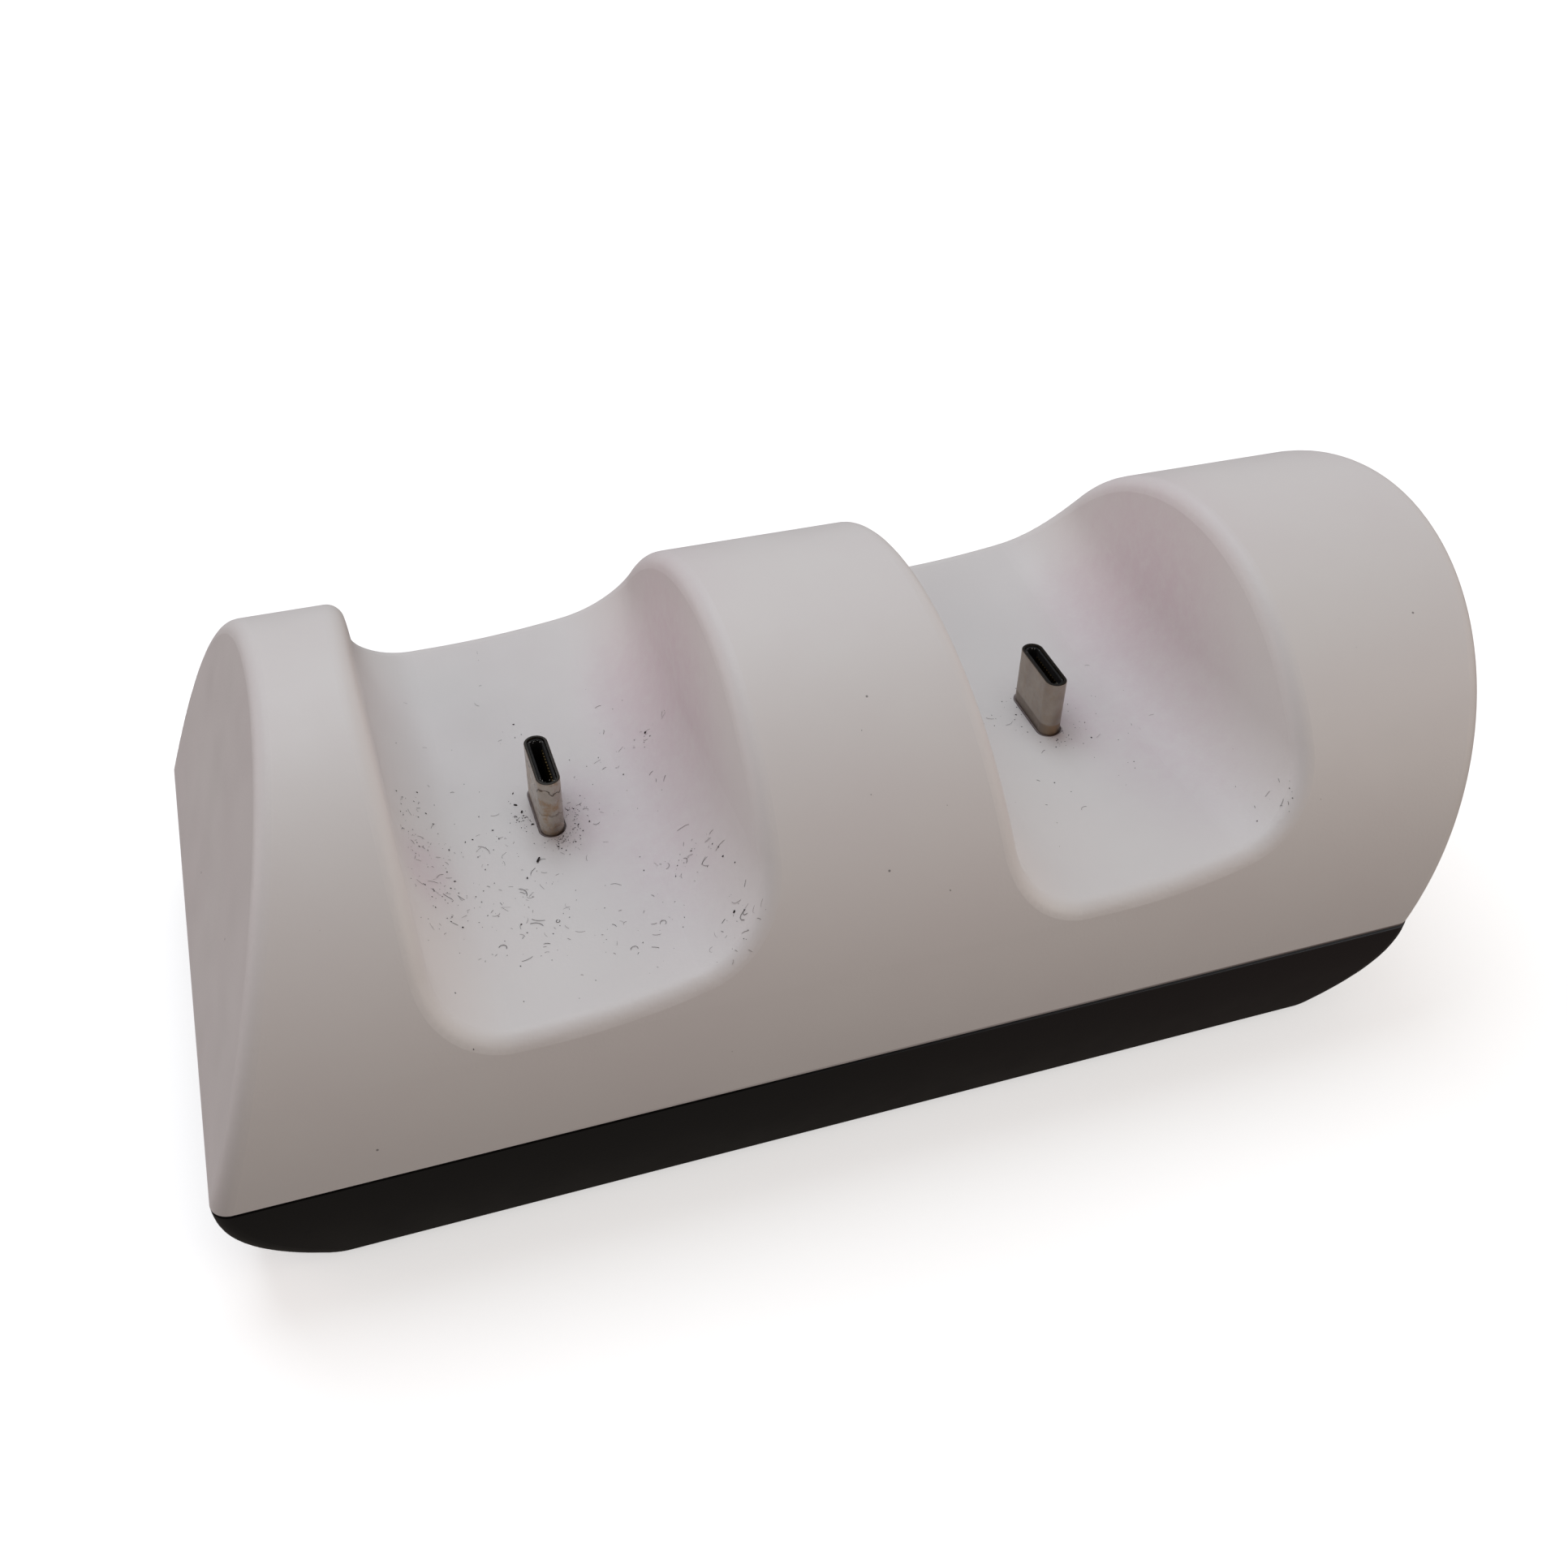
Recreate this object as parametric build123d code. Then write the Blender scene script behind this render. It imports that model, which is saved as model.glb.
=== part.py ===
from build123d import *

import os
from math import asin, cos, degrees, radians, tan

# Controller charging dock. Sizes are in millimetres, angles in degrees.
# X runs from the front end of the dock to its rear end, Y across it, and Z up from the table.
# While the pieces are made, X = 0 is the front end of the seam between cover and tray.

# Cover: a half cylinder lying along X, whose two end faces lean back together
BODY_RADIUS = 33.5
BODY_LENGTH = 125.0
END_LEAN = 20.0
END_EDGE_ROUND = 1.8
COVER_WALL = 2.2

# Cradles: two equal troughs across the cover, placed by the plug that stands in each
FRONT_CRADLE_X = 38.2
CRADLE_PITCH = 56.6
CRADLE_FRONT_REACH = 15.5
CRADLE_REAR_REACH = 14.9
FRONT_WALL_LEAN = 3.0
REAR_WALL_LEAN = 5.0
FLOOR_HEIGHT = 10.1
FLOOR_FLAT_REACH = 7.0
FLOOR_RISE_RADIUS = 75.0
FRONT_CORNER_RADIUS = 6.5
REAR_CORNER_RADIUS = 9.0
DISH_RADIUS = 260.0
LIP_ROUND = 1.8
CUT_MARGIN = 5.0

# Tray: its walls start flush with the cover and tuck in towards the table
TRAY_DEPTH = 12.0
TRAY_WALL = 2.2
TRAY_FLOOR = 2.2
TRAY_END_TUCK = 2.0
TRAY_SIDE_TUCK = 1.8
TRAY_BOTTOM_CORNER = 9.8
TRAY_INNER_CORNER = 0.8
TRAY_EDGE_ROUND = 0.8
TRAY_LEVELS = 5
SEAM_GAP = 0.35
RIM_HEIGHT = 1.6
RIM_THICKNESS = 1.0
RIM_CLEARANCE = 0.15
LEDGE_DEPTH = 3.0

# Rubber feet, let into the tray
FOOT_PROUD = 1.0
FOOT_RECESS = 0.8
FOOT_DIAMETER = 10.0
FOOT_CLEARANCE = 0.1
FOOT_EDGE_ROUND = 0.4
FOOT_END_INSET = 14.0
FOOT_SIDE_INSET = 11.5

# Case screws, driven from below through the tray's posts into the cover's posts
CASE_SCREW_END_INSET = 26.0
CASE_SCREW_SIDE_INSET = 9.5
CASE_POST_DIAMETER = 7.0
CASE_SCREW_SHANK = 2.6
CASE_SCREW_LENGTH = 11.0
CASE_SCREW_HEAD = 5.0
CASE_SCREW_HEAD_HEIGHT = 1.8
CASE_SCREW_GRIP = 4.0
SCREW_CLEARANCE = 0.2
THREAD_CLEARANCE = 0.05
PILOT_SPARE = 1.0
DRIVE_WIDTH = 0.6
DRIVE_DEPTH_SHARE = 0.5

# Charging plugs: standard reversible plugs whose broad side faces along the dock
PLUG_WIDTH = 8.34
PLUG_THICKNESS = 2.5
PLUG_SKIN = 0.3
PLUG_STAND = 6.9
PLUG_ROOT = 7.0
PLUG_TIP_ROUND = 0.12
SLOT_CLEARANCE = 0.2
LINER_CLEARANCE = 0.1
LINER_RECESS = 0.2
LINER_WALL = 0.22
MOUTH_DEPTH = 6.0
CONTACT_COUNT = 12
CONTACT_PITCH = 0.5
CONTACT_WIDTH = 0.26
CONTACT_THICKNESS = 0.12
CONTACT_BULGE = 0.14
CONTACT_SETBACK = 0.9

# Plug holders, screwed up against flat pads under the cradle floors
PAD_LENGTH = 9.0
PAD_WIDTH = 27.0
PAD_DEPTH = 1.2
HOLDER_LENGTH = 8.0
HOLDER_WIDTH = 13.0
HOLDER_HEIGHT = 6.5
HOLDER_EAR_WIDTH = 25.0
HOLDER_EAR_THICKNESS = 2.5
HOLDER_CLEARANCE = 0.1
HOLDER_CORNER = 1.2
HOLDER_SCREW_SPACING = 19.0
HOLDER_SCREW_SHANK = 1.6
HOLDER_SCREW_LENGTH = 4.6
HOLDER_SCREW_HEAD = 3.2
HOLDER_SCREW_HEAD_HEIGHT = 1.2

# Boards
BOARD_THICKNESS = 1.6
BOARD_WIDTH = 30.0
BOARD_FRONT_GAP = 10.0
BOARD_REAR_GAP = 1.0
BOARD_CORNER = 2.0
STANDOFF_HEIGHT = 2.8
STANDOFF_DIAMETER = 5.0
STANDOFF_INSET = 4.0
BOARD_SCREW_SHANK = 1.8
BOARD_SCREW_LENGTH = 5.0
BOARD_SCREW_HEAD = 3.6
BOARD_SCREW_HEAD_HEIGHT = 1.3
RISER_THICKNESS = 1.2
RISER_WIDTH = 15.0
RISER_HOUSING_LENGTH = 5.0
RISER_HOUSING_HEIGHT = 4.5
RISER_HOUSING_FLOOR = 0.8
RISER_HOUSING_WALL = 1.4
RISER_CLEARANCE = 0.1

# Power socket in the rear end of the tray
SOCKET_WIDTH = 8.94
SOCKET_HEIGHT = 3.26
SOCKET_LENGTH = 7.35
SOCKET_SKIN = 0.3
SOCKET_SETBACK = 0.4
SOCKET_OPENING_CLEARANCE = 0.25
SOCKET_BACK_LENGTH = 1.6
TONGUE_WIDTH = 6.69
TONGUE_THICKNESS = 0.7
TONGUE_RECESS = 0.8
SOCKET_CONTACT_COUNT = 12
SOCKET_CONTACT_WIDTH = 0.28
SOCKET_CONTACT_LENGTH = 3.6
SOCKET_CONTACT_THICKNESS = 0.08

# Charge lamps and the light guide in the front end of the tray
LAMP_SPACING = 8.0
LAMP_LENGTH = 1.6
LAMP_WIDTH = 1.6
LAMP_HEIGHT = 1.4
WINDOW_WIDTH = 13.0
WINDOW_HEIGHT = 2.0
WINDOW_CLEARANCE = 0.08
GUIDE_FLANGE_MARGIN = 1.0
GUIDE_FLANGE_THICKNESS = 1.2
GUIDE_ARM_WIDTH = 2.0
GUIDE_LAMP_GAP = 0.3

# Components on the main board, on the side of each plug that faces the middle of the dock
CHIP_LENGTH = 4.9
CHIP_WIDTH = 3.9
CHIP_HEIGHT = 1.5
CHIP_LIFT = 0.1
CHIP_LEG_COUNT = 4
CHIP_LEG_PITCH = 1.27
CHIP_LEG_WIDTH = 0.42
CHIP_LEG_REACH = 1.05
CHIP_LEG_THICKNESS = 0.25
CHIP_BEHIND_PLUG = 13.0
CAPACITOR_DIAMETER = 5.0
CAPACITOR_HEIGHT = 5.4
CAPACITOR_FOOT = 5.3
CAPACITOR_FOOT_HEIGHT = 0.9
CAPACITOR_NECK = 0.35
CAPACITOR_SPACING = 17.0
RESISTOR_LENGTH = 1.6
RESISTOR_WIDTH = 0.8
RESISTOR_HEIGHT = 0.45
RESISTOR_COUNT = 4
RESISTOR_PITCH = 2.2
RESISTOR_BEHIND_PLUG = 7.5

# Places that follow from the sizes above
LEAN_TAN = tan(radians(END_LEAN))
SEAM_Z = FOOT_PROUD + TRAY_DEPTH
FLOOR_Z = SEAM_Z + FLOOR_HEIGHT
PLUG_XS = (FRONT_CRADLE_X, FRONT_CRADLE_X + CRADLE_PITCH)
FLOOR_RISE_AT_PLUG = FLOOR_RISE_RADIUS * (1 - cos(asin(FLOOR_FLAT_REACH / FLOOR_RISE_RADIUS)))
PLUG_FLOOR_Z = FLOOR_Z + FLOOR_RISE_AT_PLUG
PLUG_TIP_Z = PLUG_FLOOR_Z + PLUG_STAND
PLUG_ROOT_Z = PLUG_FLOOR_Z - PLUG_ROOT
PAD_Z = FLOOR_Z - COVER_WALL - PAD_DEPTH
TRAY_FLOOR_Z = FOOT_PROUD + TRAY_FLOOR
BOARD_Z = TRAY_FLOOR_Z + STANDOFF_HEIGHT
BOARD_TOP_Z = BOARD_Z + BOARD_THICKNESS
BOARD_FRONT_X = BOARD_FRONT_GAP
BOARD_REAR_X = BODY_LENGTH - TRAY_END_TUCK - TRAY_WALL - BOARD_REAR_GAP
SOCKET_Z = BOARD_TOP_Z + SOCKET_HEIGHT / 2
WINDOW_Z = BOARD_TOP_Z + LAMP_HEIGHT / 2


def at(x, y, z, shape):
    """The shape moved to a place."""
    return Pos(x, y, z) * shape


def upright(radius, bottom, top, x=0.0, y=0.0):
    """A round pin or hole standing along Z between two heights."""
    pin = Cylinder(radius, top - bottom, align=(Align.CENTER, Align.CENTER, Align.MIN))
    return at(x, y, bottom, pin)


def block(length, width, bottom, top, x=0.0, y=0.0):
    """A box standing between two heights, centred on x and y."""
    box = Box(length, width, top - bottom, align=(Align.CENTER, Align.CENTER, Align.MIN))
    return at(x, y, bottom, box)


def rounded_block(length, width, corner, bottom, top, x=0.0, y=0.0):
    """A box with rounded upright edges, standing between two heights."""
    outline = RectangleRounded(length, width, corner)
    return at(x, y, bottom, extrude(outline, amount=top - bottom))


def plug_slot(grow, bottom, top, x):
    """The plug's outline with full round ends, its broad side across the dock."""
    outline = SlotOverall(PLUG_WIDTH + 2 * grow, PLUG_THICKNESS + 2 * grow, rotation=90)
    return at(x, 0, bottom, extrude(outline, amount=top - bottom))


def mirrored(places):
    """Each (x, y) place with its twin on the other side of the dock."""
    return [(x, side * y) for x, y in places for side in (-1, 1)]


def case_screw_places():
    """The four places where the cover is screwed to the tray."""
    y = BODY_RADIUS - CASE_SCREW_SIDE_INSET
    return mirrored([(CASE_SCREW_END_INSET, y), (BODY_LENGTH - CASE_SCREW_END_INSET, y)])


def foot_places():
    """The places of the four feet, front pair first."""
    y = BODY_RADIUS - FOOT_SIDE_INSET
    return mirrored([(FOOT_END_INSET, y), (BODY_LENGTH - FOOT_END_INSET, y)])


def standoff_places():
    """The four places where the main board is screwed down."""
    y = BOARD_WIDTH / 2 - STANDOFF_INSET
    return mirrored([(BOARD_FRONT_X + STANDOFF_INSET, y), (BOARD_REAR_X - STANDOFF_INSET, y)])


def holder_screw_places(plug_x):
    """The two places, one each side of a plug, where its holder is screwed up."""
    return mirrored([(plug_x, HOLDER_SCREW_SPACING / 2)])


def half_round(inset):
    """The outside of the cover, or with an inset the hollow inside its wall."""
    radius = BODY_RADIUS - inset
    end_inset = inset / cos(radians(END_LEAN))
    front, rear, lean = end_inset, BODY_LENGTH - end_inset, radius * LEAN_TAN
    top = SEAM_Z + radius
    corners = [(front, SEAM_Z), (rear, SEAM_Z), (rear + lean, top), (front + lean, top)]
    leaning = extrude(Plane.XZ * Polygon(*corners, align=None), amount=BODY_RADIUS, both=True)
    cylinder = Cylinder(radius, 2 * (BODY_LENGTH + BODY_RADIUS), rotation=(0, 90, 0))
    return leaning & at(BODY_LENGTH / 2, 0, SEAM_Z, cylinder)


def cradle_outline(plug_x):
    """A cradle cut along the dock: steep front wall, floor rising to the rear, rear wall."""
    top = SEAM_Z + BODY_RADIUS + CUT_MARGIN
    foot_front = (plug_x - CRADLE_FRONT_REACH, FLOOR_Z)
    rise_start = (plug_x - FLOOR_FLAT_REACH, FLOOR_Z)
    sweep = asin((CRADLE_REAR_REACH + FLOOR_FLAT_REACH) / FLOOR_RISE_RADIUS)
    rise_centre = (rise_start[0], FLOOR_Z + FLOOR_RISE_RADIUS)
    rise = CenterArc(rise_centre, FLOOR_RISE_RADIUS, start_angle=-90, arc_size=degrees(sweep))
    foot_rear = rise @ 1
    top_front = (foot_front[0] - (top - FLOOR_Z) * tan(radians(FRONT_WALL_LEAN)), top)
    top_rear = (foot_rear.X + (top - foot_rear.Y) * tan(radians(REAR_WALL_LEAN)), top)
    edges = [
        Line(top_front, foot_front),
        Line(foot_front, rise_start),
        rise,
        Line(foot_rear, top_rear),
        Line(top_rear, top_front),
    ]
    outline = make_face(edges)
    outline = fillet(outline.vertices().sort_by_distance(Vector(*foot_front))[0], FRONT_CORNER_RADIUS)
    return fillet(outline.vertices().sort_by_distance(foot_rear)[0], REAR_CORNER_RADIUS)


def cradle_space(plug_x, grow):
    """The room a controller takes in a cradle, dished across the dock, grown for its underside."""
    axis = Axis((0, 0, FLOOR_Z + DISH_RADIUS), (1, 0, 0))
    half_turn = degrees(asin((BODY_RADIUS + CUT_MARGIN) / DISH_RADIUS))
    outline = cradle_outline(plug_x)
    if grow:
        outline = offset(outline, amount=grow)
    start = (Plane.XZ * outline).rotate(axis, -half_turn)
    return revolve(start, axis=axis, revolution_arc=2 * half_turn)


def lies_on_round(edge):
    """Whether an edge runs along the cover's outer cylinder, above the seam and off its ends."""
    middle = edge @ 0.5
    off_axis = (middle.Y**2 + (middle.Z - SEAM_Z) ** 2) ** 0.5
    from_front = middle.X - (middle.Z - SEAM_Z) * LEAN_TAN
    inside_ends = END_EDGE_ROUND * 2 < from_front < BODY_LENGTH - END_EDGE_ROUND * 2
    return abs(off_axis - BODY_RADIUS) < 0.01 and middle.Z > SEAM_Z + 1 and inside_ends


def make_cover():
    """The white cover: a thin shell that follows the half cylinder and both cradles."""
    outside = half_round(0)
    outside = fillet(outside.edges().filter_by(GeomType.ELLIPSE), END_EDGE_ROUND)
    hollow = half_round(COVER_WALL)
    rooted = half_round(COVER_WALL / 2)
    for plug_x in PLUG_XS:
        outside -= cradle_space(plug_x, 0)
        hollow -= cradle_space(plug_x, COVER_WALL)
        rooted -= cradle_space(plug_x, COVER_WALL / 2)
    outside = fillet(outside.edges().filter_by(lies_on_round), LIP_ROUND)
    cover = outside - hollow
    for x, y in case_screw_places():
        cover += rooted & upright(CASE_POST_DIAMETER / 2, SEAM_Z, SEAM_Z + BODY_RADIUS, x, y)
    for plug_x in PLUG_XS:
        cover += rooted & block(PAD_LENGTH, PAD_WIDTH, PAD_Z, PLUG_TIP_Z, plug_x)
    pilot_top = SEAM_Z + CASE_SCREW_LENGTH - CASE_SCREW_GRIP + PILOT_SPARE
    for x, y in case_screw_places():
        cover -= upright(CASE_SCREW_SHANK / 2 + THREAD_CLEARANCE, SEAM_Z, pilot_top, x, y)
    holder_pilot = HOLDER_SCREW_LENGTH - HOLDER_EAR_THICKNESS + SCREW_CLEARANCE
    for plug_x in PLUG_XS:
        cover -= plug_slot(SLOT_CLEARANCE, PAD_Z, PLUG_TIP_Z, plug_x)
        for x, y in holder_screw_places(plug_x):
            radius = HOLDER_SCREW_SHANK / 2 + THREAD_CLEARANCE
            cover -= upright(radius, PAD_Z, PAD_Z + holder_pilot, x, y)
    return cover


def tray_section(z, inset):
    """The tray's rounded outline at one height, tucked in more the lower it lies."""
    fall = ((SEAM_Z - z) / TRAY_DEPTH) ** 2
    length = BODY_LENGTH - 2 * (inset + TRAY_END_TUCK * fall)
    width = 2 * (BODY_RADIUS - inset - TRAY_SIDE_TUCK * fall)
    corner = END_EDGE_ROUND + (TRAY_BOTTOM_CORNER - END_EDGE_ROUND) * fall - inset
    return at(BODY_LENGTH / 2, 0, z, RectangleRounded(length, width, max(corner, TRAY_INNER_CORNER)))


def tray_form(inset, bottom, top):
    """The tray's solid form between two heights, its walls moved in by an inset."""
    step = (top - bottom) / (TRAY_LEVELS - 1)
    return loft([tray_section(bottom + step * level, inset) for level in range(TRAY_LEVELS)])


def rim_ring(outer_x, outer_y, inner_x, inner_y, bottom, top):
    """A ring around the inside of the tray, given by its distances from the body's outline."""
    outer = RectangleRounded(BODY_LENGTH - 2 * outer_x, 2 * (BODY_RADIUS - outer_y), TRAY_INNER_CORNER)
    inner = RectangleRounded(BODY_LENGTH - 2 * inner_x, 2 * (BODY_RADIUS - inner_y), TRAY_INNER_CORNER)
    ring = outer - inner
    return at(BODY_LENGTH / 2, 0, bottom, extrude(ring, amount=top - bottom))


def make_tray_rim():
    """The tongue that stands inside the cover's wall, and the ledge that carries it."""
    tongue_x = COVER_WALL / cos(radians(END_LEAN)) + RIM_HEIGHT * LEAN_TAN + RIM_CLEARANCE
    tongue_y = COVER_WALL + RIM_CLEARANCE
    inner = (tongue_x + RIM_THICKNESS, tongue_y + RIM_THICKNESS)
    wall_top = SEAM_Z - SEAM_GAP
    tongue = rim_ring(tongue_x, tongue_y, *inner, wall_top, SEAM_Z + RIM_HEIGHT)
    ledge = rim_ring(TRAY_WALL / 2, TRAY_WALL / 2, *inner, wall_top - LEDGE_DEPTH, wall_top)
    return tongue + ledge


def socket_slot(grow, start_x, length):
    """The power socket's outline with full round ends, running along X."""
    outline = SlotOverall(SOCKET_WIDTH + 2 * grow, SOCKET_HEIGHT + 2 * grow)
    return at(start_x, 0, SOCKET_Z, extrude(Plane.YZ * outline, amount=length))


def window_block(grow, length):
    """The light guide's window outline, running along X from outside the front end."""
    width, height = WINDOW_WIDTH + 2 * grow, WINDOW_HEIGHT + 2 * grow
    outline = SlotOverall(width, height)
    return at(-CUT_MARGIN, 0, WINDOW_Z, extrude(Plane.YZ * outline, amount=length + CUT_MARGIN))


def make_tray():
    """The black tray with its rim, posts, standoffs, foot recesses and two end openings."""
    wall_top = SEAM_Z - SEAM_GAP
    tray = tray_form(0, FOOT_PROUD, wall_top)
    tray = fillet(tray.faces().sort_by(Axis.Z)[0].edges(), TRAY_EDGE_ROUND)
    tray -= tray_form(TRAY_WALL, TRAY_FLOOR_Z, SEAM_Z)
    tray += make_tray_rim()
    seat_z = SEAM_Z - CASE_SCREW_GRIP
    for x, y in case_screw_places():
        tray += upright(CASE_POST_DIAMETER / 2, FOOT_PROUD, SEAM_Z, x, y)
        tray -= upright(CASE_SCREW_HEAD / 2 + SCREW_CLEARANCE, FOOT_PROUD, seat_z, x, y)
        tray -= upright(CASE_SCREW_SHANK / 2 + SCREW_CLEARANCE, seat_z, SEAM_Z, x, y)
    for x, y in standoff_places():
        tray += upright(STANDOFF_DIAMETER / 2, TRAY_FLOOR_Z, BOARD_Z, x, y)
        pilot_z = BOARD_TOP_Z - BOARD_SCREW_LENGTH - SCREW_CLEARANCE
        tray -= upright(BOARD_SCREW_SHANK / 2 + THREAD_CLEARANCE, pilot_z, BOARD_Z, x, y)
    for x, y in foot_places():
        tray -= upright(FOOT_DIAMETER / 2 + FOOT_CLEARANCE, FOOT_PROUD, FOOT_PROUD + FOOT_RECESS, x, y)
    tray -= socket_slot(SOCKET_OPENING_CLEARANCE, BOARD_REAR_X - CUT_MARGIN, SOCKET_LENGTH + CUT_MARGIN)
    return tray - window_block(WINDOW_CLEARANCE, BOARD_FRONT_X)


def make_foot(x, y):
    """One round rubber foot with a softened lower edge."""
    foot = upright(FOOT_DIAMETER / 2, 0, FOOT_PROUD + FOOT_RECESS, x, y)
    return fillet(foot.edges().sort_by(Axis.Z)[0], FOOT_EDGE_ROUND)


def make_screw(shank, length, head, head_height):
    """A pan head screw pointing up, its head's bearing face at Z = 0, with a cross drive."""
    dome = upright(head / 2, -head_height, 0)
    dome = fillet(dome.edges().sort_by(Axis.Z)[0], head_height / 2)
    drive_top = -head_height * (1 - DRIVE_DEPTH_SHARE)
    for angle in (0, 90):
        arm = block(head / 2, DRIVE_WIDTH, -head_height, drive_top)
        dome -= Rot(0, 0, angle) * arm
    return dome + upright(shank / 2, 0, length)


def make_case_screws():
    """The four screws that hold cover and tray together."""
    screw = make_screw(CASE_SCREW_SHANK, CASE_SCREW_LENGTH, CASE_SCREW_HEAD, CASE_SCREW_HEAD_HEIGHT)
    seat_z = SEAM_Z - CASE_SCREW_GRIP
    return Compound([at(x, y, seat_z, screw) for x, y in case_screw_places()])


def make_board_screws():
    """The four screws that hold the main board down, heads up."""
    screw = make_screw(BOARD_SCREW_SHANK, BOARD_SCREW_LENGTH, BOARD_SCREW_HEAD, BOARD_SCREW_HEAD_HEIGHT)
    head_down = Rot(180, 0, 0) * screw
    return Compound([at(x, y, BOARD_TOP_Z, head_down) for x, y in standoff_places()])


def make_holder_screws():
    """The four small screws that hold both plug holders up against the cover."""
    screw = make_screw(
        HOLDER_SCREW_SHANK, HOLDER_SCREW_LENGTH, HOLDER_SCREW_HEAD, HOLDER_SCREW_HEAD_HEIGHT
    )
    bearing_z = PAD_Z - HOLDER_EAR_THICKNESS
    places = [place for plug_x in PLUG_XS for place in holder_screw_places(plug_x)]
    return Compound([at(x, y, bearing_z, screw) for x, y in places])


def make_plug_shell(plug_x):
    """The drawn metal tube of one plug, its tip edge slightly rounded."""
    tube = plug_slot(0, PLUG_ROOT_Z, PLUG_TIP_Z, plug_x)
    tube = fillet(tube.faces().sort_by(Axis.Z)[-1].edges(), PLUG_TIP_ROUND)
    return tube - plug_slot(-PLUG_SKIN, PLUG_ROOT_Z, PLUG_TIP_Z, plug_x)


def make_plug_liner(plug_x):
    """The black insulator inside one plug, with the mouth that takes the socket's tongue."""
    outer = -PLUG_SKIN - LINER_CLEARANCE
    mouth_z = PLUG_TIP_Z - LINER_RECESS
    liner = plug_slot(outer, PLUG_ROOT_Z, mouth_z, plug_x)
    return liner - plug_slot(outer - LINER_WALL, mouth_z - MOUTH_DEPTH, mouth_z, plug_x)


def make_plug_contacts(plug_x):
    """Two facing rows of spring contacts, each bowed inwards near the mouth."""
    wall_x = PLUG_THICKNESS / 2 - PLUG_SKIN - LINER_CLEARANCE - LINER_WALL
    bottom = PLUG_TIP_Z - LINER_RECESS - MOUTH_DEPTH
    top = PLUG_TIP_Z - LINER_RECESS - CONTACT_SETBACK
    face_x = wall_x - CONTACT_THICKNESS
    bow_z = top - 2 * CONTACT_SETBACK
    profile = make_face(
        [
            Line((wall_x, bottom), (wall_x, top)),
            Line((wall_x, top), (face_x, top)),
            ThreePointArc((face_x, top), (face_x - CONTACT_BULGE, (top + bow_z) / 2), (face_x, bow_z)),
            Line((face_x, bow_z), (face_x, bottom)),
            Line((face_x, bottom), (wall_x, bottom)),
        ]
    )
    strip = extrude(Plane.XZ * profile, amount=CONTACT_WIDTH / 2, both=True)
    middle = (CONTACT_COUNT - 1) / 2
    offsets = [(index - middle) * CONTACT_PITCH for index in range(CONTACT_COUNT)]
    rows = [Rot(0, 0, turn) * Pos(0, y, 0) * strip for turn in (0, 180) for y in offsets]
    return Compound([at(plug_x, 0, 0, strip) for strip in rows])


def make_plug_holder(plug_x):
    """The moulded block that grips a plug's root and the riser board, with two screwed ears."""
    ears_z = PAD_Z - HOLDER_EAR_THICKNESS
    holder = rounded_block(HOLDER_LENGTH, HOLDER_EAR_WIDTH, HOLDER_CORNER, ears_z, PAD_Z, plug_x)
    bottom = PAD_Z - HOLDER_HEIGHT
    holder += rounded_block(HOLDER_LENGTH, HOLDER_WIDTH, HOLDER_CORNER, bottom, PAD_Z, plug_x)
    holder -= plug_slot(HOLDER_CLEARANCE, PLUG_ROOT_Z, PAD_Z, plug_x)
    riser_slot = RISER_THICKNESS + 2 * RISER_CLEARANCE
    holder -= block(riser_slot, HOLDER_WIDTH, bottom, PLUG_ROOT_Z, plug_x)
    for x, y in holder_screw_places(plug_x):
        holder -= upright(HOLDER_SCREW_SHANK / 2 + SCREW_CLEARANCE, ears_z, PAD_Z, x, y)
    return holder


def make_riser_board(plug_x):
    """The small upright board between a plug and the main board, necked where the holder grips it."""
    foot_z = BOARD_TOP_Z + RISER_HOUSING_FLOOR
    holder_z = PAD_Z - HOLDER_HEIGHT
    board = block(RISER_THICKNESS, RISER_WIDTH, foot_z, holder_z - RISER_CLEARANCE, plug_x)
    neck_width = HOLDER_WIDTH - 2 * HOLDER_CORNER
    return board + block(RISER_THICKNESS, neck_width, foot_z, PLUG_ROOT_Z, plug_x)


def make_riser_housing(plug_x):
    """The slotted housing on the main board that a riser board stands in."""
    width = RISER_WIDTH + 2 * (RISER_CLEARANCE + RISER_HOUSING_WALL)
    top = BOARD_TOP_Z + RISER_HOUSING_HEIGHT
    housing = block(RISER_HOUSING_LENGTH, width, BOARD_TOP_Z, top, plug_x)
    slot_length, slot_width = RISER_THICKNESS + 2 * RISER_CLEARANCE, RISER_WIDTH + 2 * RISER_CLEARANCE
    return housing - block(slot_length, slot_width, BOARD_TOP_Z + RISER_HOUSING_FLOOR, top, plug_x)


def make_main_board():
    """The main board, with a hole over each standoff."""
    length = BOARD_REAR_X - BOARD_FRONT_X
    middle = (BOARD_REAR_X + BOARD_FRONT_X) / 2
    board = rounded_block(length, BOARD_WIDTH, BOARD_CORNER, BOARD_Z, BOARD_TOP_Z, middle)
    for x, y in standoff_places():
        board -= upright(BOARD_SCREW_SHANK / 2 + SCREW_CLEARANCE, BOARD_Z, BOARD_TOP_Z, x, y)
    return board


def socket_mouth_x():
    """Where the power socket's mouth lies, a little inside the tray's rear face."""
    fall = ((SEAM_Z - SOCKET_Z) / TRAY_DEPTH) ** 2
    return BODY_LENGTH - TRAY_END_TUCK * fall - SOCKET_SETBACK


def make_socket_shell():
    """The folded metal tube of the power socket."""
    start = socket_mouth_x() - SOCKET_LENGTH
    return socket_slot(0, start, SOCKET_LENGTH) - socket_slot(-SOCKET_SKIN, start, SOCKET_LENGTH)


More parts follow.
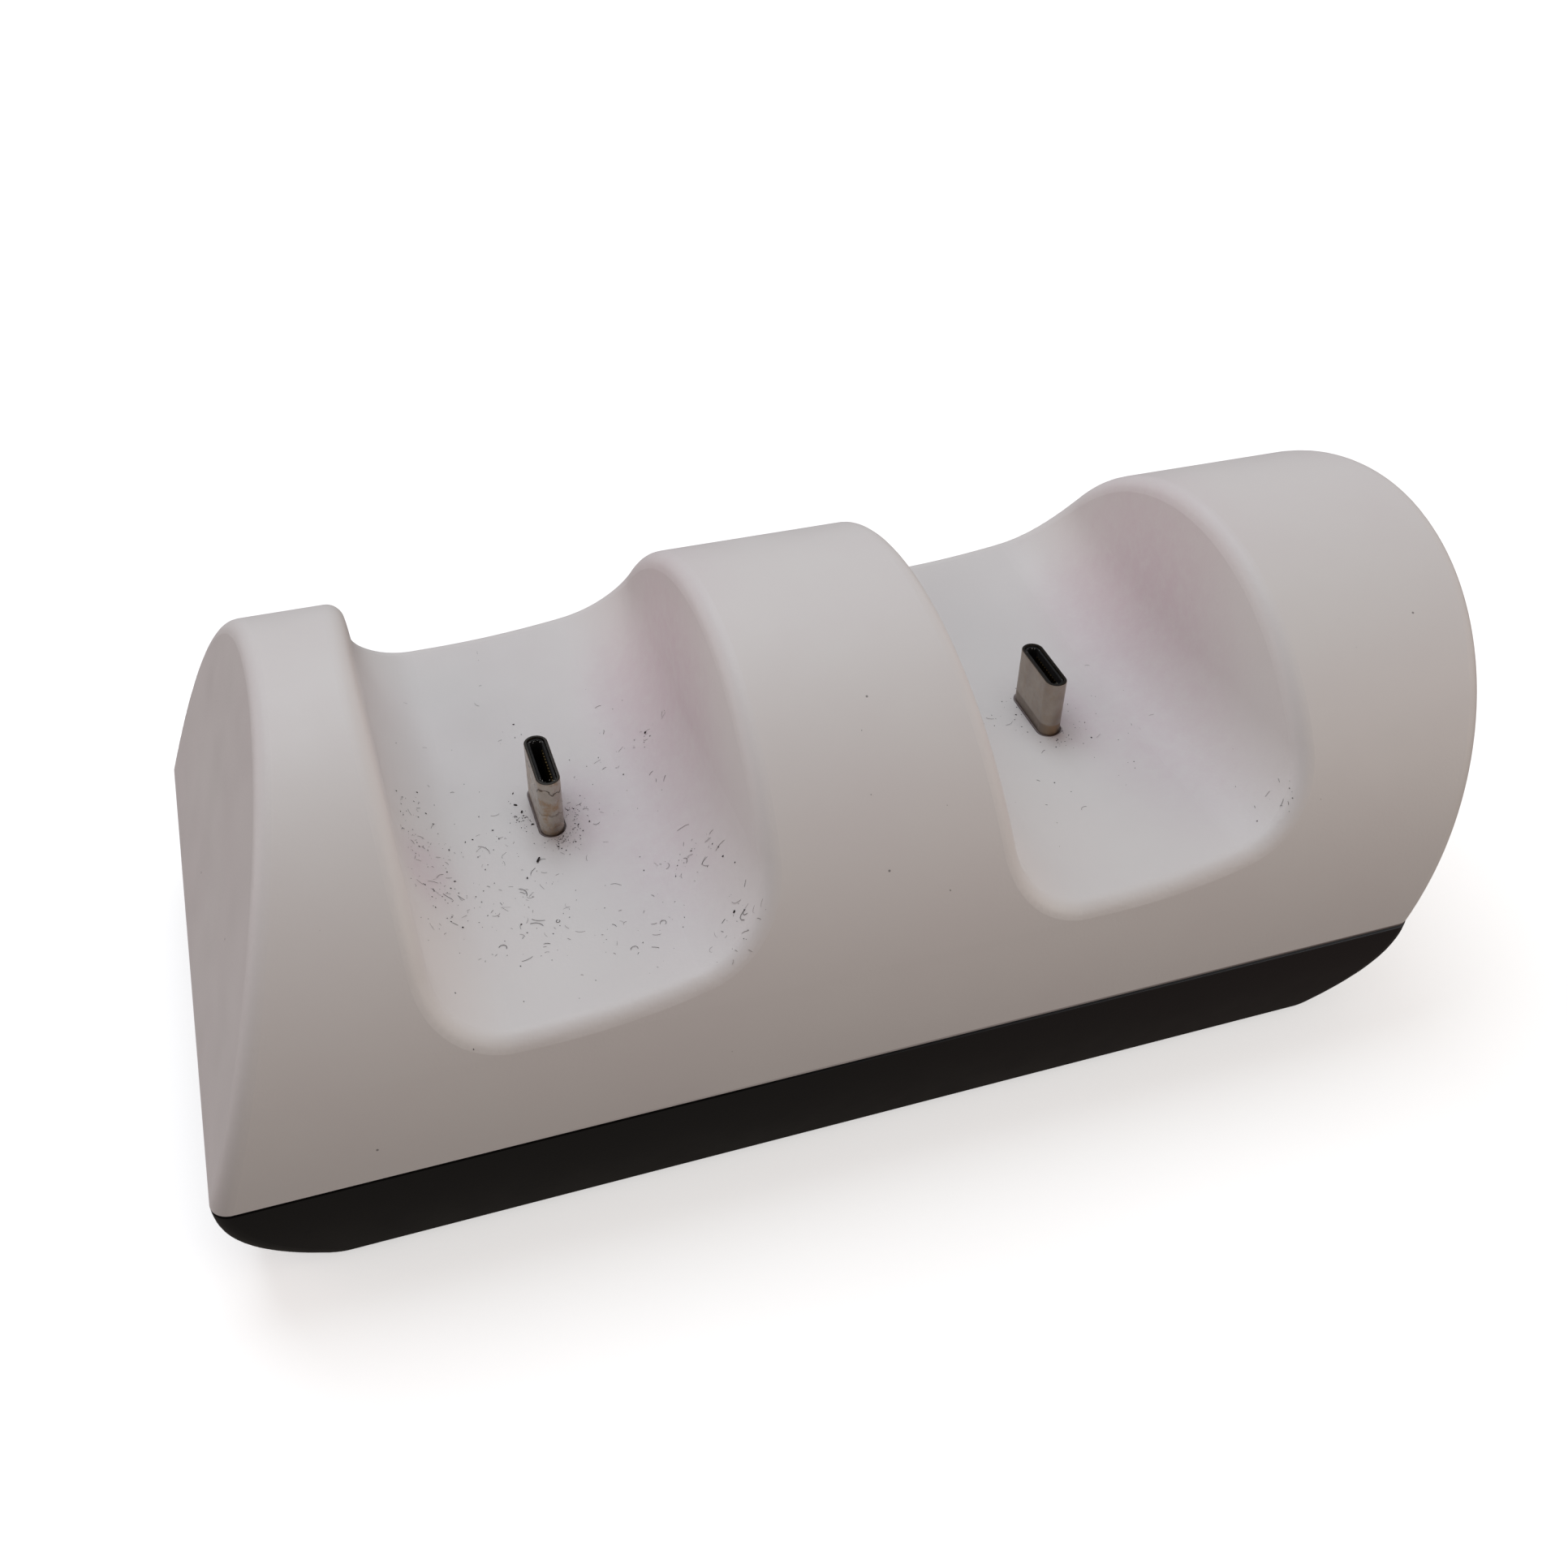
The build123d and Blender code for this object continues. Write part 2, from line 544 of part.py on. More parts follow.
def make_socket_tongue():
    """The power socket's insulator: a back plug and the tongue that reaches to its mouth."""
    start = socket_mouth_x() - SOCKET_LENGTH
    back = socket_slot(-SOCKET_SKIN, start, SOCKET_BACK_LENGTH)
    length = SOCKET_LENGTH - TONGUE_RECESS
    tongue = Box(length, TONGUE_WIDTH, TONGUE_THICKNESS, align=(Align.MIN, Align.CENTER, Align.CENTER))
    return back + at(start, 0, SOCKET_Z, tongue)


def make_socket_contacts():
    """Flat contacts on both faces of the power socket's tongue."""
    start = socket_mouth_x() - SOCKET_LENGTH + SOCKET_BACK_LENGTH
    strip = Box(
        SOCKET_CONTACT_LENGTH,
        SOCKET_CONTACT_WIDTH,
        SOCKET_CONTACT_THICKNESS,
        align=(Align.MIN, Align.CENTER, Align.CENTER),
    )
    lift = (TONGUE_THICKNESS + SOCKET_CONTACT_THICKNESS) / 2
    middle = (SOCKET_CONTACT_COUNT - 1) / 2
    offsets = [(index - middle) * CONTACT_PITCH for index in range(SOCKET_CONTACT_COUNT)]
    return Compound([at(start, y, SOCKET_Z + face * lift, strip) for face in (-1, 1) for y in offsets])


def make_light_guide():
    """The clear guide that carries light from both lamps to the window in the front end."""
    outside = tray_form(0, FOOT_PROUD, SEAM_Z)
    inside = tray_form(TRAY_WALL, TRAY_FLOOR_Z, SEAM_Z)
    flange_x = TRAY_WALL + TRAY_END_TUCK + GUIDE_FLANGE_THICKNESS
    guide = window_block(0, flange_x) & outside
    flange_width = WINDOW_WIDTH + 2 * GUIDE_FLANGE_MARGIN
    flange_bottom = WINDOW_Z - WINDOW_HEIGHT / 2 - GUIDE_FLANGE_MARGIN
    flange = block(flange_x * 2, flange_width, flange_bottom, SEAM_Z - SEAM_GAP - LEDGE_DEPTH)
    guide += flange & inside
    arm_end = BOARD_FRONT_X - GUIDE_LAMP_GAP
    for y in (-LAMP_SPACING / 2, LAMP_SPACING / 2):
        arm_length = arm_end - flange_x
        arm = Box(arm_length, GUIDE_ARM_WIDTH, LAMP_HEIGHT, align=(Align.MIN, Align.CENTER, Align.CENTER))
        guide += at(flange_x, y, WINDOW_Z, arm)
    return guide


def make_charge_lamps():
    """The two side-facing lamps at the main board's front edge."""
    x = BOARD_FRONT_X + LAMP_LENGTH / 2
    top = BOARD_TOP_Z + LAMP_HEIGHT
    return Compound(
        [block(LAMP_LENGTH, LAMP_WIDTH, BOARD_TOP_Z, top, x, side * LAMP_SPACING / 2) for side in (-1, 1)]
    )


def behind_plug(plug_x, distance):
    """A place at a distance from a plug, towards the middle of the dock."""
    return plug_x + distance if plug_x == PLUG_XS[0] else plug_x - distance


def make_charge_chip(plug_x):
    """The charge control chip behind one riser, with a row of legs along each side."""
    x = behind_plug(plug_x, CHIP_BEHIND_PLUG)
    body_z = BOARD_TOP_Z + CHIP_LIFT
    chip = block(CHIP_LENGTH, CHIP_WIDTH, body_z, BOARD_TOP_Z + CHIP_HEIGHT, x)
    middle = (CHIP_LEG_COUNT - 1) / 2
    leg_top = body_z + CHIP_LEG_THICKNESS
    for index in range(CHIP_LEG_COUNT):
        leg_x = x + (index - middle) * CHIP_LEG_PITCH
        chip += block(CHIP_LEG_WIDTH, CHIP_WIDTH + 2 * CHIP_LEG_REACH, BOARD_TOP_Z, leg_top, leg_x)
    return chip


def make_capacitors():
    """Two upright can capacitors midway between the plugs, each on a chamfered foot."""
    foot_top = BOARD_TOP_Z + CAPACITOR_FOOT_HEIGHT
    square = Rectangle(CAPACITOR_FOOT, CAPACITOR_FOOT)
    outline = chamfer(square.vertices().sort_by(Axis.X)[-2:], CAPACITOR_NECK * 2)
    foot = at(0, 0, BOARD_TOP_Z, extrude(outline, amount=CAPACITOR_FOOT_HEIGHT))
    can = upright(CAPACITOR_DIAMETER / 2, foot_top, BOARD_TOP_Z + CAPACITOR_HEIGHT)
    can = fillet(can.edges().sort_by(Axis.Z)[-1], CAPACITOR_NECK)
    x = sum(PLUG_XS) / 2
    return Compound([at(x, side * CAPACITOR_SPACING / 2, 0, foot + can) for side in (-1, 1)])


def make_resistors():
    """Two short rows of chip resistors, one between each riser and its charge chip."""
    top = BOARD_TOP_Z + RESISTOR_HEIGHT
    middle = (RESISTOR_COUNT - 1) / 2
    return Compound(
        [
            block(
                RESISTOR_LENGTH,
                RESISTOR_WIDTH,
                BOARD_TOP_Z,
                top,
                behind_plug(plug_x, RESISTOR_BEHIND_PLUG),
                (index - middle) * RESISTOR_PITCH,
            )
            for plug_x in PLUG_XS
            for index in range(RESISTOR_COUNT)
        ]
    )


def make_parts():
    """Every piece of the dock by name, in the frame that starts at the seam's front end."""
    parts = {
        "top_cover": make_cover(),
        "base_tray": make_tray(),
        "main_board": make_main_board(),
        "power_socket_shell": make_socket_shell(),
        "power_socket_tongue": make_socket_tongue(),
        "power_socket_contacts": make_socket_contacts(),
        "light_guide": make_light_guide(),
        "charge_lamps": make_charge_lamps(),
        "filter_capacitors": make_capacitors(),
        "chip_resistors": make_resistors(),
        "case_screws": make_case_screws(),
        "board_screws": make_board_screws(),
        "holder_screws": make_holder_screws(),
    }
    for end, plug_x in zip(("front", "rear"), PLUG_XS):
        parts[f"{end}_plug_shell"] = make_plug_shell(plug_x)
        parts[f"{end}_plug_liner"] = make_plug_liner(plug_x)
        parts[f"{end}_plug_contacts"] = make_plug_contacts(plug_x)
        parts[f"{end}_plug_holder"] = make_plug_holder(plug_x)
        parts[f"{end}_riser_board"] = make_riser_board(plug_x)
        parts[f"{end}_riser_housing"] = make_riser_housing(plug_x)
        parts[f"{end}_charge_chip"] = make_charge_chip(plug_x)
    foot_names = ("front_right_foot", "front_left_foot", "rear_right_foot", "rear_left_foot")
    for name, (x, y) in zip(foot_names, foot_places()):
        parts[name] = make_foot(x, y)
    return parts


def main():
    """Write each piece with the origin under the middle of the dock, on the table."""
    parts = make_parts()
    middle_x = parts["top_cover"].bounding_box().center().X
    os.makedirs("parts", exist_ok=True)
    for name, shape in parts.items():
        export_step(Pos(-middle_x, 0, 0) * shape, f"parts/{name}.step")


main()
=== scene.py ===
"""Looks of a desk dock that charges two game controllers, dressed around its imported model."""

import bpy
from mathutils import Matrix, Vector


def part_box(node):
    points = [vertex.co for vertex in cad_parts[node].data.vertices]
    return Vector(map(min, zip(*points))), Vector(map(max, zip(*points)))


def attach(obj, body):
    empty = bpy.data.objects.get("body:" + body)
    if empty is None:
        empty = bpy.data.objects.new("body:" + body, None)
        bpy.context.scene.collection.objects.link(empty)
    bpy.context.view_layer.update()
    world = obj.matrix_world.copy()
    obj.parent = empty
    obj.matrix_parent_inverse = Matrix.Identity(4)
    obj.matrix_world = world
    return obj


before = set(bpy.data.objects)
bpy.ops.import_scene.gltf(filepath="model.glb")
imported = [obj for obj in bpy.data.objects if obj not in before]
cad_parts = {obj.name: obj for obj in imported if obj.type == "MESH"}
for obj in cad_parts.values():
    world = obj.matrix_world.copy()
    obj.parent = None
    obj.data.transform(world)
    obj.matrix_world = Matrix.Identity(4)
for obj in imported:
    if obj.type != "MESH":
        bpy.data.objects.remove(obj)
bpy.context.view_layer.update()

import logging
import math
import random
from dataclasses import dataclass, field, replace
from enum import Enum

import bmesh
import bpy
from mathutils import Matrix, Vector
from mathutils.bvhtree import BVHTree

MM = 0.001
BODY = "root"
LOG = logging.getLogger("dock")

Triple = tuple[float, float, float]
Colour = tuple[float, float, float, float]
Span = tuple[float, float]
Mesh = bmesh.types.BMesh
Node = bpy.types.Node
Piece = bpy.types.Object
Socket = bpy.types.NodeSocket
Shade = Socket | Colour
Tree = bpy.types.NodeTree


class End(Enum):
    """The two ends of the dock, as the pieces' names say them."""

    FRONT = "front"
    REAR = "rear"


class Side(Enum):
    """The two long sides of the dock, as the pieces' names say them."""

    RIGHT = "right"
    LEFT = "left"


class Axis(Enum):
    """Axes of the dock's frame, by their letters."""

    ALONG = "X"
    UP = "Z"


def linear(hex_colour: str) -> Colour:
    """Turn an sRGB hex colour into linear light.

    Args:
        hex_colour: The colour as six hex digits after a hash sign.

    Returns:
        Red, green, blue and an alpha of one.
    """
    shares = [int(hex_colour[start : start + 2], 16) / 255 for start in (1, 3, 5)]
    light = [s / 12.92 if s <= 0.04045 else ((s + 0.055) / 1.055) ** 2.4 for s in shares]
    return (light[0], light[1], light[2], 1.0)


def per_metre(size_mm: float) -> float:
    """Pattern scale that gives features of a real size, on coordinates in metres."""
    return 1.0 / (size_mm * MM)


def add_node(
    tree: Tree,
    kind: str,
    settings: dict | None = None,
    links: dict | None = None,
) -> Node:
    """Add one node with its settings and links.

    Args:
        tree: The node tree that takes the node.
        kind: Blender's type name of the node, after its first word ShaderNode.
        settings: Values by attribute name, or by input name or number.
        links: Sockets that feed the node, by input name or number.

    Returns:
        The new node.
    """
    node = tree.nodes.new(f"ShaderNode{kind}")
    for key, value in (settings or {}).items():
        if isinstance(key, str) and hasattr(node, key):
            setattr(node, key, value)
        else:
            node.inputs[key].default_value = value
    for key, socket in (links or {}).items():
        tree.links.new(socket, node.inputs[key])
    return node


def limits(run: Span, shares: Span = (0.0, 1.0)) -> dict[str, float]:
    """Settings of a change: where it begins and ends, and the shares before and after it."""
    return {"From Min": run[0], "From Max": run[1], "To Min": shares[0], "To Max": shares[1]}


def product(tree: Tree, *factors: Socket | float) -> Socket:
    """Multiply sockets and numbers.

    Args:
        tree: The node tree.
        factors: Sockets and numbers, the first one a socket.

    Returns:
        The product socket, or the only factor itself.
    """
    running = factors[0]
    for factor in factors[1:]:
        settings, links = {"operation": "MULTIPLY"}, {0: running}
        held = settings if isinstance(factor, float) else links
        held[1] = factor
        running = add_node(tree, "Math", settings, links).outputs[0]
    return running


def overlaid(tree: Tree, below: Shade, above: Shade, *factors: Socket | float) -> Socket:
    """Lay one colour over another.

    Args:
        tree: The node tree.
        below: The colour below.
        above: The colour over it.
        factors: Sockets and numbers whose product says how much of the upper colour shows.

    Returns:
        The colour socket.
    """
    settings, links = {"data_type": "RGBA"}, {0: product(tree, *factors)}
    for slot, shade in ((6, below), (7, above)):
        held = settings if isinstance(shade, tuple) else links
        held[slot] = shade
    return add_node(tree, "Mix", settings, links).outputs[2]


EVEN = (1.0, 1.0, 1.0)


@dataclass(frozen=True)
class Surface:
    """What a finish dresses: a material's tree and shader, and the dock's coordinates in metres."""

    tree: Tree
    shader: Node
    place: Socket

    def nearness(self, centre_mm: Triple, reach_mm: Span, stretch: Triple = EVEN) -> Socket:
        """How near a place is to a centre.

        Args:
            centre_mm: The centre.
            reach_mm: Distance inside which the share is 1, and distance past which it's 0.
            stretch: Factors on the three distances before they are measured.

        Returns:
            The share socket.
        """
        back = [-value * MM for value in centre_mm]
        spot = self.place
        for operation, value in (("ADD", back), ("MULTIPLY", stretch)):
            settings = {"operation": operation, 1: value}
            spot = add_node(self.tree, "VectorMath", settings, {0: spot}).outputs[0]
        length = add_node(self.tree, "VectorMath", {"operation": "LENGTH"}, {0: spot})
        near, far = reach_mm
        settings = {"interpolation_type": "SMOOTHSTEP", **limits((near * MM, far * MM), (1.0, 0.0))}
        links = {"Value": length.outputs["Value"]}
        return add_node(self.tree, "MapRange", settings, links).outputs[0]

    def fade(self, axis: Axis, run_mm: Span, shares: Span = (0.0, 1.0)) -> Socket:
        """A share that changes evenly along an axis.

        Args:
            axis: The axis.
            run_mm: Where the change begins and where it ends.
            shares: The share before the change and after it.

        Returns:
            The share socket.
        """
        parts = add_node(self.tree, "SeparateXYZ", links={0: self.place})
        first, last = run_mm
        settings = limits((first * MM, last * MM), shares)
        links = {"Value": parts.outputs[axis.value]}
        return add_node(self.tree, "MapRange", settings, links).outputs[0]


@dataclass(frozen=True)
class Finish:
    """What every finish has: a colour, a gloss and a fine relief of grain.

    Real mould, plating and fibre grain is mostly too fine for the picture, so it's drawn coarser.
    """

    name: str
    colour: str
    shade: str
    roughness: float
    roughness_spread: float = 0.06
    metallic: float = 0.0
    ior: float = 1.5
    grain_mm: float = 0.2
    grain_depth_mm: float = 0.004
    cloud_mm: float = 12.0
    patches_per_cloud: float = 3.0
    noise_span: Span = (0.3, 0.7)

    def material(self) -> bpy.types.Material:
        """Build the material once and give the same one at every later call.

        Returns:
            The finished material.
        """
        found = bpy.data.materials.get(self.name)
        if found:
            return found
        made = bpy.data.materials.new(self.name)
        made.use_nodes = True
        made.diffuse_color = linear(self.colour)
        tree = made.node_tree
        tree.nodes.clear()
        settings = {"Metallic": self.metallic}
        if not self.metallic:
            settings["IOR"] = self.ior
        shader = add_node(tree, "BsdfPrincipled", settings)
        add_node(tree, "OutputMaterial", links={"Surface": shader.outputs[0]})
        place = add_node(tree, "TexCoord").outputs["Object"]
        self.dress(Surface(tree, shader, place))
        return made

    def dress(self, surface: Surface) -> None:
        """Give the shader its colour, a roughness that wanders a little, and its relief.

        Args:
            surface: What is dressed.
        """
        tree = surface.tree
        inputs = surface.shader.inputs
        tree.links.new(self.coloured(surface), inputs["Base Color"])
        settings = {"Scale": per_metre(self.cloud_mm / self.patches_per_cloud), "Detail": 5.0}
        patches = add_node(tree, "TexNoise", settings, {"Vector": surface.place}).outputs[0]
        least, most = self.roughness - self.roughness_spread, self.roughness + self.roughness_spread
        settings = limits(self.noise_span, (least, most))
        gloss = add_node(tree, "MapRange", settings, {"Value": patches}).outputs[0]
        tree.links.new(gloss, inputs["Roughness"])
        settings = {"Strength": 1.0, "Distance": self.grain_depth_mm * MM}
        bump = add_node(tree, "Bump", settings, {"Height": self.grain(surface)}).outputs[0]
        tree.links.new(bump, inputs["Normal"])

    def coloured(self, surface: Surface) -> Socket:
        """Base colour that drifts slowly between the two shades.

        Args:
            surface: What is dressed.

        Returns:
            The colour socket.
        """
        settings = {"Scale": per_metre(self.cloud_mm), "Detail": 4.0, "Roughness": 0.6}
        cloud = add_node(surface.tree, "TexNoise", settings, {"Vector": surface.place})
        return overlaid(surface.tree, linear(self.colour), linear(self.shade), cloud.outputs[0])

    def grain(self, surface: Surface) -> Socket:
        """Height of the grain, from 0 to 1.

        Args:
            surface: What is dressed.

        Returns:
            The height socket.
        """
        settings = {"Scale": per_metre(self.grain_mm), "Detail": 3.0, "Roughness": 0.55}
        grain = add_node(surface.tree, "TexNoise", settings, {"Vector": surface.place})
        return grain.outputs[0]


@dataclass(frozen=True)
class Patch:
    """A soft patch in a cradle, a stain in some places and painted shade in others: its place from the
    plug's foot, its shape, reach and strength.
    """

    offset_mm: Triple
    stretch: Triple
    reach_mm: Span
    strength: float
    stain: str


RUB_AND_WALL_SHADE_SHAPE = (1.0, 0.5, 0.6)
RUBBED_PINK_AND_WALL_SHADE = "#DACCD1"
GRIME_AND_CONTACT_SHADE = "#A3949A"
# Four patches rubbed faintly pink by what stands in the cradle, one of painted shade high on its wall, then
# grime and painted contact shade round the plug
CRADLE_PATCHES = (
    Patch((3.4, -1.5, 0.0), RUB_AND_WALL_SHADE_SHAPE, (1.0, 5.0), 1.1, RUBBED_PINK_AND_WALL_SHADE),
    Patch((10.5, -10.0, 0.0), RUB_AND_WALL_SHADE_SHAPE, (1.0, 12.0), 1.1, RUBBED_PINK_AND_WALL_SHADE),
    Patch((13.0, 12.0, 0.0), RUB_AND_WALL_SHADE_SHAPE, (1.0, 8.0), 1.1, RUBBED_PINK_AND_WALL_SHADE),
    Patch((-14.0, -7.0, 0.0), RUB_AND_WALL_SHADE_SHAPE, (1.0, 4.0), 1.1, RUBBED_PINK_AND_WALL_SHADE),
    # Painted shade: darkens the upper part of the cradle's rear wall
    Patch((15.5, 6.0, 9.0), RUB_AND_WALL_SHADE_SHAPE, (1.0, 12.0), 1.7, RUBBED_PINK_AND_WALL_SHADE),
    # Grime round the plug; the next patch hugs its foot and is also painted contact shade
    Patch((0.0, 0.0, 0.0), (1.5, 0.85, 1.0), (2.4, 8.5), 0.25, GRIME_AND_CONTACT_SHADE),
    Patch((0.0, 0.0, 0.0), (2.6, 1.0, 1.0), (4.1, 4.9), 0.5, GRIME_AND_CONTACT_SHADE),
)
# The few dark specks on the cover's steep sides
BODY_SPECKS_MM = (
    (-53.04, -33.27, 16.85),
    (-0.84, -15.08, 42.91),
    (-2.7, -27.63, 31.93),
    (59.2, -17.0, 41.86),
    (-65.11, 3.12, 21.51),
    (-62.73, -14.19, 28.06),
)


@dataclass(frozen=True)
class MouldedWhiteAbs(Finish):
    """White ABS moulded in a fine spark-eroded tool, so it reads as soft, even and nearly matt."""

    plug_feet_mm: tuple[Triple, ...] = ()
    blotch_mm: float = 1.6
    speck: str = "#4A4446"
    speck_reach_mm: Span = (0.08, 0.16)
    speck_share: float = 0.7
    dust_cell_mm: float = 1.1
    dust_radius: Span = (0.05, 0.09)
    dust_rarity: float = 0.95
    dust_share: float = 0.3
    # Painted shade: the cover's bottom rim, just above the tray, is darkened more towards the rear
    seam_shade: str = "#5A4E4A"
    seam_shade_z_mm: Span = (13.16, 13.3)
    seam_shade_run_mm: Span = (-45.0, 45.0)
    seam_shade_share: float = 0.9

    def coloured(self, surface: Surface) -> Socket:
        """Base colour with stained cradles, grime, specks, dust, and painted shade on walls, plug feet and
        bottom rim.

        Args:
            surface: What is dressed.

        Returns:
            The colour socket.
        """
        tree = surface.tree
        colour = super().coloured(surface)
        settings = {"Scale": per_metre(self.blotch_mm), "Detail": 6.0, "Roughness": 0.7}
        blotch = add_node(tree, "TexNoise", settings, {"Vector": surface.place}).outputs[0]
        for foot in self.plug_feet_mm:
            for patch in CRADLE_PATCHES:
                centre = tuple(start + offset for start, offset in zip(foot, patch.offset_mm))
                near = surface.nearness(centre, patch.reach_mm, patch.stretch)
                colour = overlaid(tree, colour, linear(patch.stain), near, blotch, patch.strength)
        for spot in BODY_SPECKS_MM:
            near = surface.nearness(spot, self.speck_reach_mm)
            colour = overlaid(tree, colour, linear(self.speck), near, self.speck_share)
        colour = overlaid(tree, colour, linear(self.speck), self.dust(surface))
        # Painted shade along the cover's bottom rim, stronger towards the rear
        low = surface.fade(Axis.UP, self.seam_shade_z_mm, (1.0, 0.0))
        rearward = surface.fade(Axis.ALONG, self.seam_shade_run_mm, (0.0, self.seam_shade_share))
        return overlaid(tree, colour, linear(self.seam_shade), low, rearward)

    def dust(self, surface: Surface) -> Socket:
        """Share of faint dust specks: one dot in few of many cells, drawn coarser than real dust.

        Args:
            surface: What is dressed.

        Returns:
            The share socket.
        """
        tree = surface.tree
        settings = {"Scale": per_metre(self.dust_cell_mm)}
        cells = add_node(tree, "TexVoronoi", settings, {"Vector": surface.place})
        settings = limits(self.dust_radius, (1.0, 0.0))
        dot = add_node(tree, "MapRange", settings, {"Value": cells.outputs["Distance"]})
        settings = {"operation": "GREATER_THAN", 1: self.dust_rarity}
        chosen = add_node(tree, "Math", settings, {0: cells.outputs["Color"]})
        return product(tree, dot.outputs[0], chosen.outputs[0], self.dust_share)


@dataclass(frozen=True)
class MouldedBlackAbs(Finish):
    """Black ABS moulded satin: deep black, browner towards the rear, with a painted grey highlight along
    its top.
    """

    brown: str = "#1A1315"
    brown_run_mm: Span = (-20.0, 50.0)
    # Painted highlight: a thin grey line along the tray's top, stronger towards the rear
    edge_highlight: str = "#6E757C"
    edge_highlight_z_mm: Span = (12.55, 12.61)
    edge_highlight_share: float = 0.7

    def coloured(self, surface: Surface) -> Socket:
        """Base colour with its brown cast and a painted highlight along its top.

        Args:
            surface: What is dressed.

        Returns:
            The colour socket.
        """
        rearward = surface.fade(Axis.ALONG, self.brown_run_mm)
        # Painted highlight along the tray's top, faded in towards the rear
        high = surface.fade(Axis.UP, self.edge_highlight_z_mm, (0.0, self.edge_highlight_share))
        warm = overlaid(surface.tree, super().coloured(surface), linear(self.brown), rearward)
        return overlaid(surface.tree, warm, linear(self.edge_highlight), high, rearward)


@dataclass(frozen=True)
class StainLine:
    """One wavy stain line on a plug: its depth below the tip, its half width and its share."""

    depth_mm: float
    half_mm: float
    share: float


@dataclass(frozen=True)
class DrawnNickel(Finish):
    """Steel tube drawn and nickel plated, dulled by use: grey-brown, stained, dark on its rim."""

    tip_z_mm: float = 0.0
    floor_z_mm: float = 0.0
    stain: str = "#4A423B"
    lines: tuple[StainLine, ...] = ()
    line_core: float = 0.4
    wave_mm: float = 1.7
    wave_height_mm: float = 3.2
    tan: str = "#A08466"
    tan_share: float = 0.75
    blotch_mm: float = 1.1
    blotch_span: Span = (0.48, 0.66)
    shadow: str = "#75695F"
    foot_band_mm: float = 0.5
    foot_band_share: float = 0.5
    foot_fade_mm: Span = (-0.05, 0.15)
    rim: str = "#131211"
    rim_depth_mm: Span = (0.05, 0.02)
    rim_share: float = 0.95
    drawn_stretch: float = 0.06

    def coloured(self, surface: Surface) -> Socket:
        """Base colour with tan blotches, stain lines, a foot band and a dark rim.

        Args:
            surface: What is dressed.

        Returns:
            The colour socket.
        """
        tree = surface.tree
        settings = {"Scale": per_metre(self.blotch_mm), "Detail": 6.0, "Roughness": 0.65}
        blotch = add_node(tree, "TexNoise", settings, {"Vector": surface.place}).outputs[0]
        settings = limits(self.blotch_span, (0.0, self.tan_share))
        warm = add_node(tree, "MapRange", settings, {"Value": blotch}).outputs[0]
        colour = overlaid(tree, super().coloured(surface), linear(self.tan), warm)
        colour = self.banded(surface, self.lined(surface, colour))
        first, last = self.rim_depth_mm
        rim_mm = (self.tip_z_mm - first, self.tip_z_mm - last)
        rim = surface.fade(Axis.UP, rim_mm, (0.0, self.rim_share))
        return overlaid(tree, colour, linear(self.rim), rim)

    def lined(self, surface: Surface, colour: Socket) -> Socket:
        """Draw the wavy stain lines over a colour.

        Args:
            surface: What is dressed.
            colour: The colour below.

        Returns:
            The colour socket.
        """
        tree = surface.tree
        settings = {"Scale": per_metre(self.wave_mm), "Detail": 3.0}
        waves = add_node(tree, "TexNoise", settings, {"Vector": surface.place}).outputs[0]
        swing = self.wave_height_mm * MM
        settings = {"operation": "MULTIPLY_ADD", 1: swing, 2: -swing / 2}
        wander = add_node(tree, "Math", settings, {0: waves}).outputs[0]
        height = add_node(tree, "SeparateXYZ", links={0: surface.place}).outputs["Z"]
        level = add_node(tree, "Math", {"operation": "ADD"}, {0: height, 1: wander}).outputs[0]
        for line in self.lines:
            settings = {"operation": "SUBTRACT", 1: (self.tip_z_mm - line.depth_mm) * MM}
            off_line = add_node(tree, "Math", settings, {0: level}).outputs[0]
            away = add_node(tree, "Math", {"operation": "ABSOLUTE"}, {0: off_line}).outputs[0]
            half = line.half_mm * MM
            settings = limits((half * self.line_core, half), (line.share, 0.0))
            mark = add_node(tree, "MapRange", settings, {"Value": away}).outputs[0]
            colour = overlaid(tree, colour, linear(self.stain), mark)
        return colour

    def banded(self, surface: Surface, colour: Socket) -> Socket:
        """Lay the foot band over a colour: grey-brown on the broad faces, tan on the narrow ones.

        Args:
            surface: What is dressed.
            colour: The colour below.

        Returns:
            The colour socket.
        """
        tree = surface.tree
        normal = add_node(tree, "NewGeometry").outputs["Normal"]
        facing = add_node(tree, "SeparateXYZ", links={0: normal}).outputs["X"]
        broad = add_node(tree, "Math", {"operation": "ABSOLUTE"}, {0: facing}).outputs[0]
        band = overlaid(tree, linear(self.tan), linear(self.shadow), broad)
        top = self.floor_z_mm + self.foot_band_mm
        first, last = self.foot_fade_mm
        foot = surface.fade(Axis.UP, (top + first, top + last), (self.foot_band_share, 0.0))
        return overlaid(tree, colour, band, foot)

    def grain(self, surface: Surface) -> Socket:
        """Height of the drawing lines: the grain, drawn out along the tube.

        Args:
            surface: What is dressed.

        Returns:
            The height socket.
        """
        settings = {"Scale": (1.0, 1.0, self.drawn_stretch)}
        drawn = add_node(surface.tree, "Mapping", settings, {"Vector": surface.place})
        return super().grain(replace(surface, place=drawn.outputs[0]))


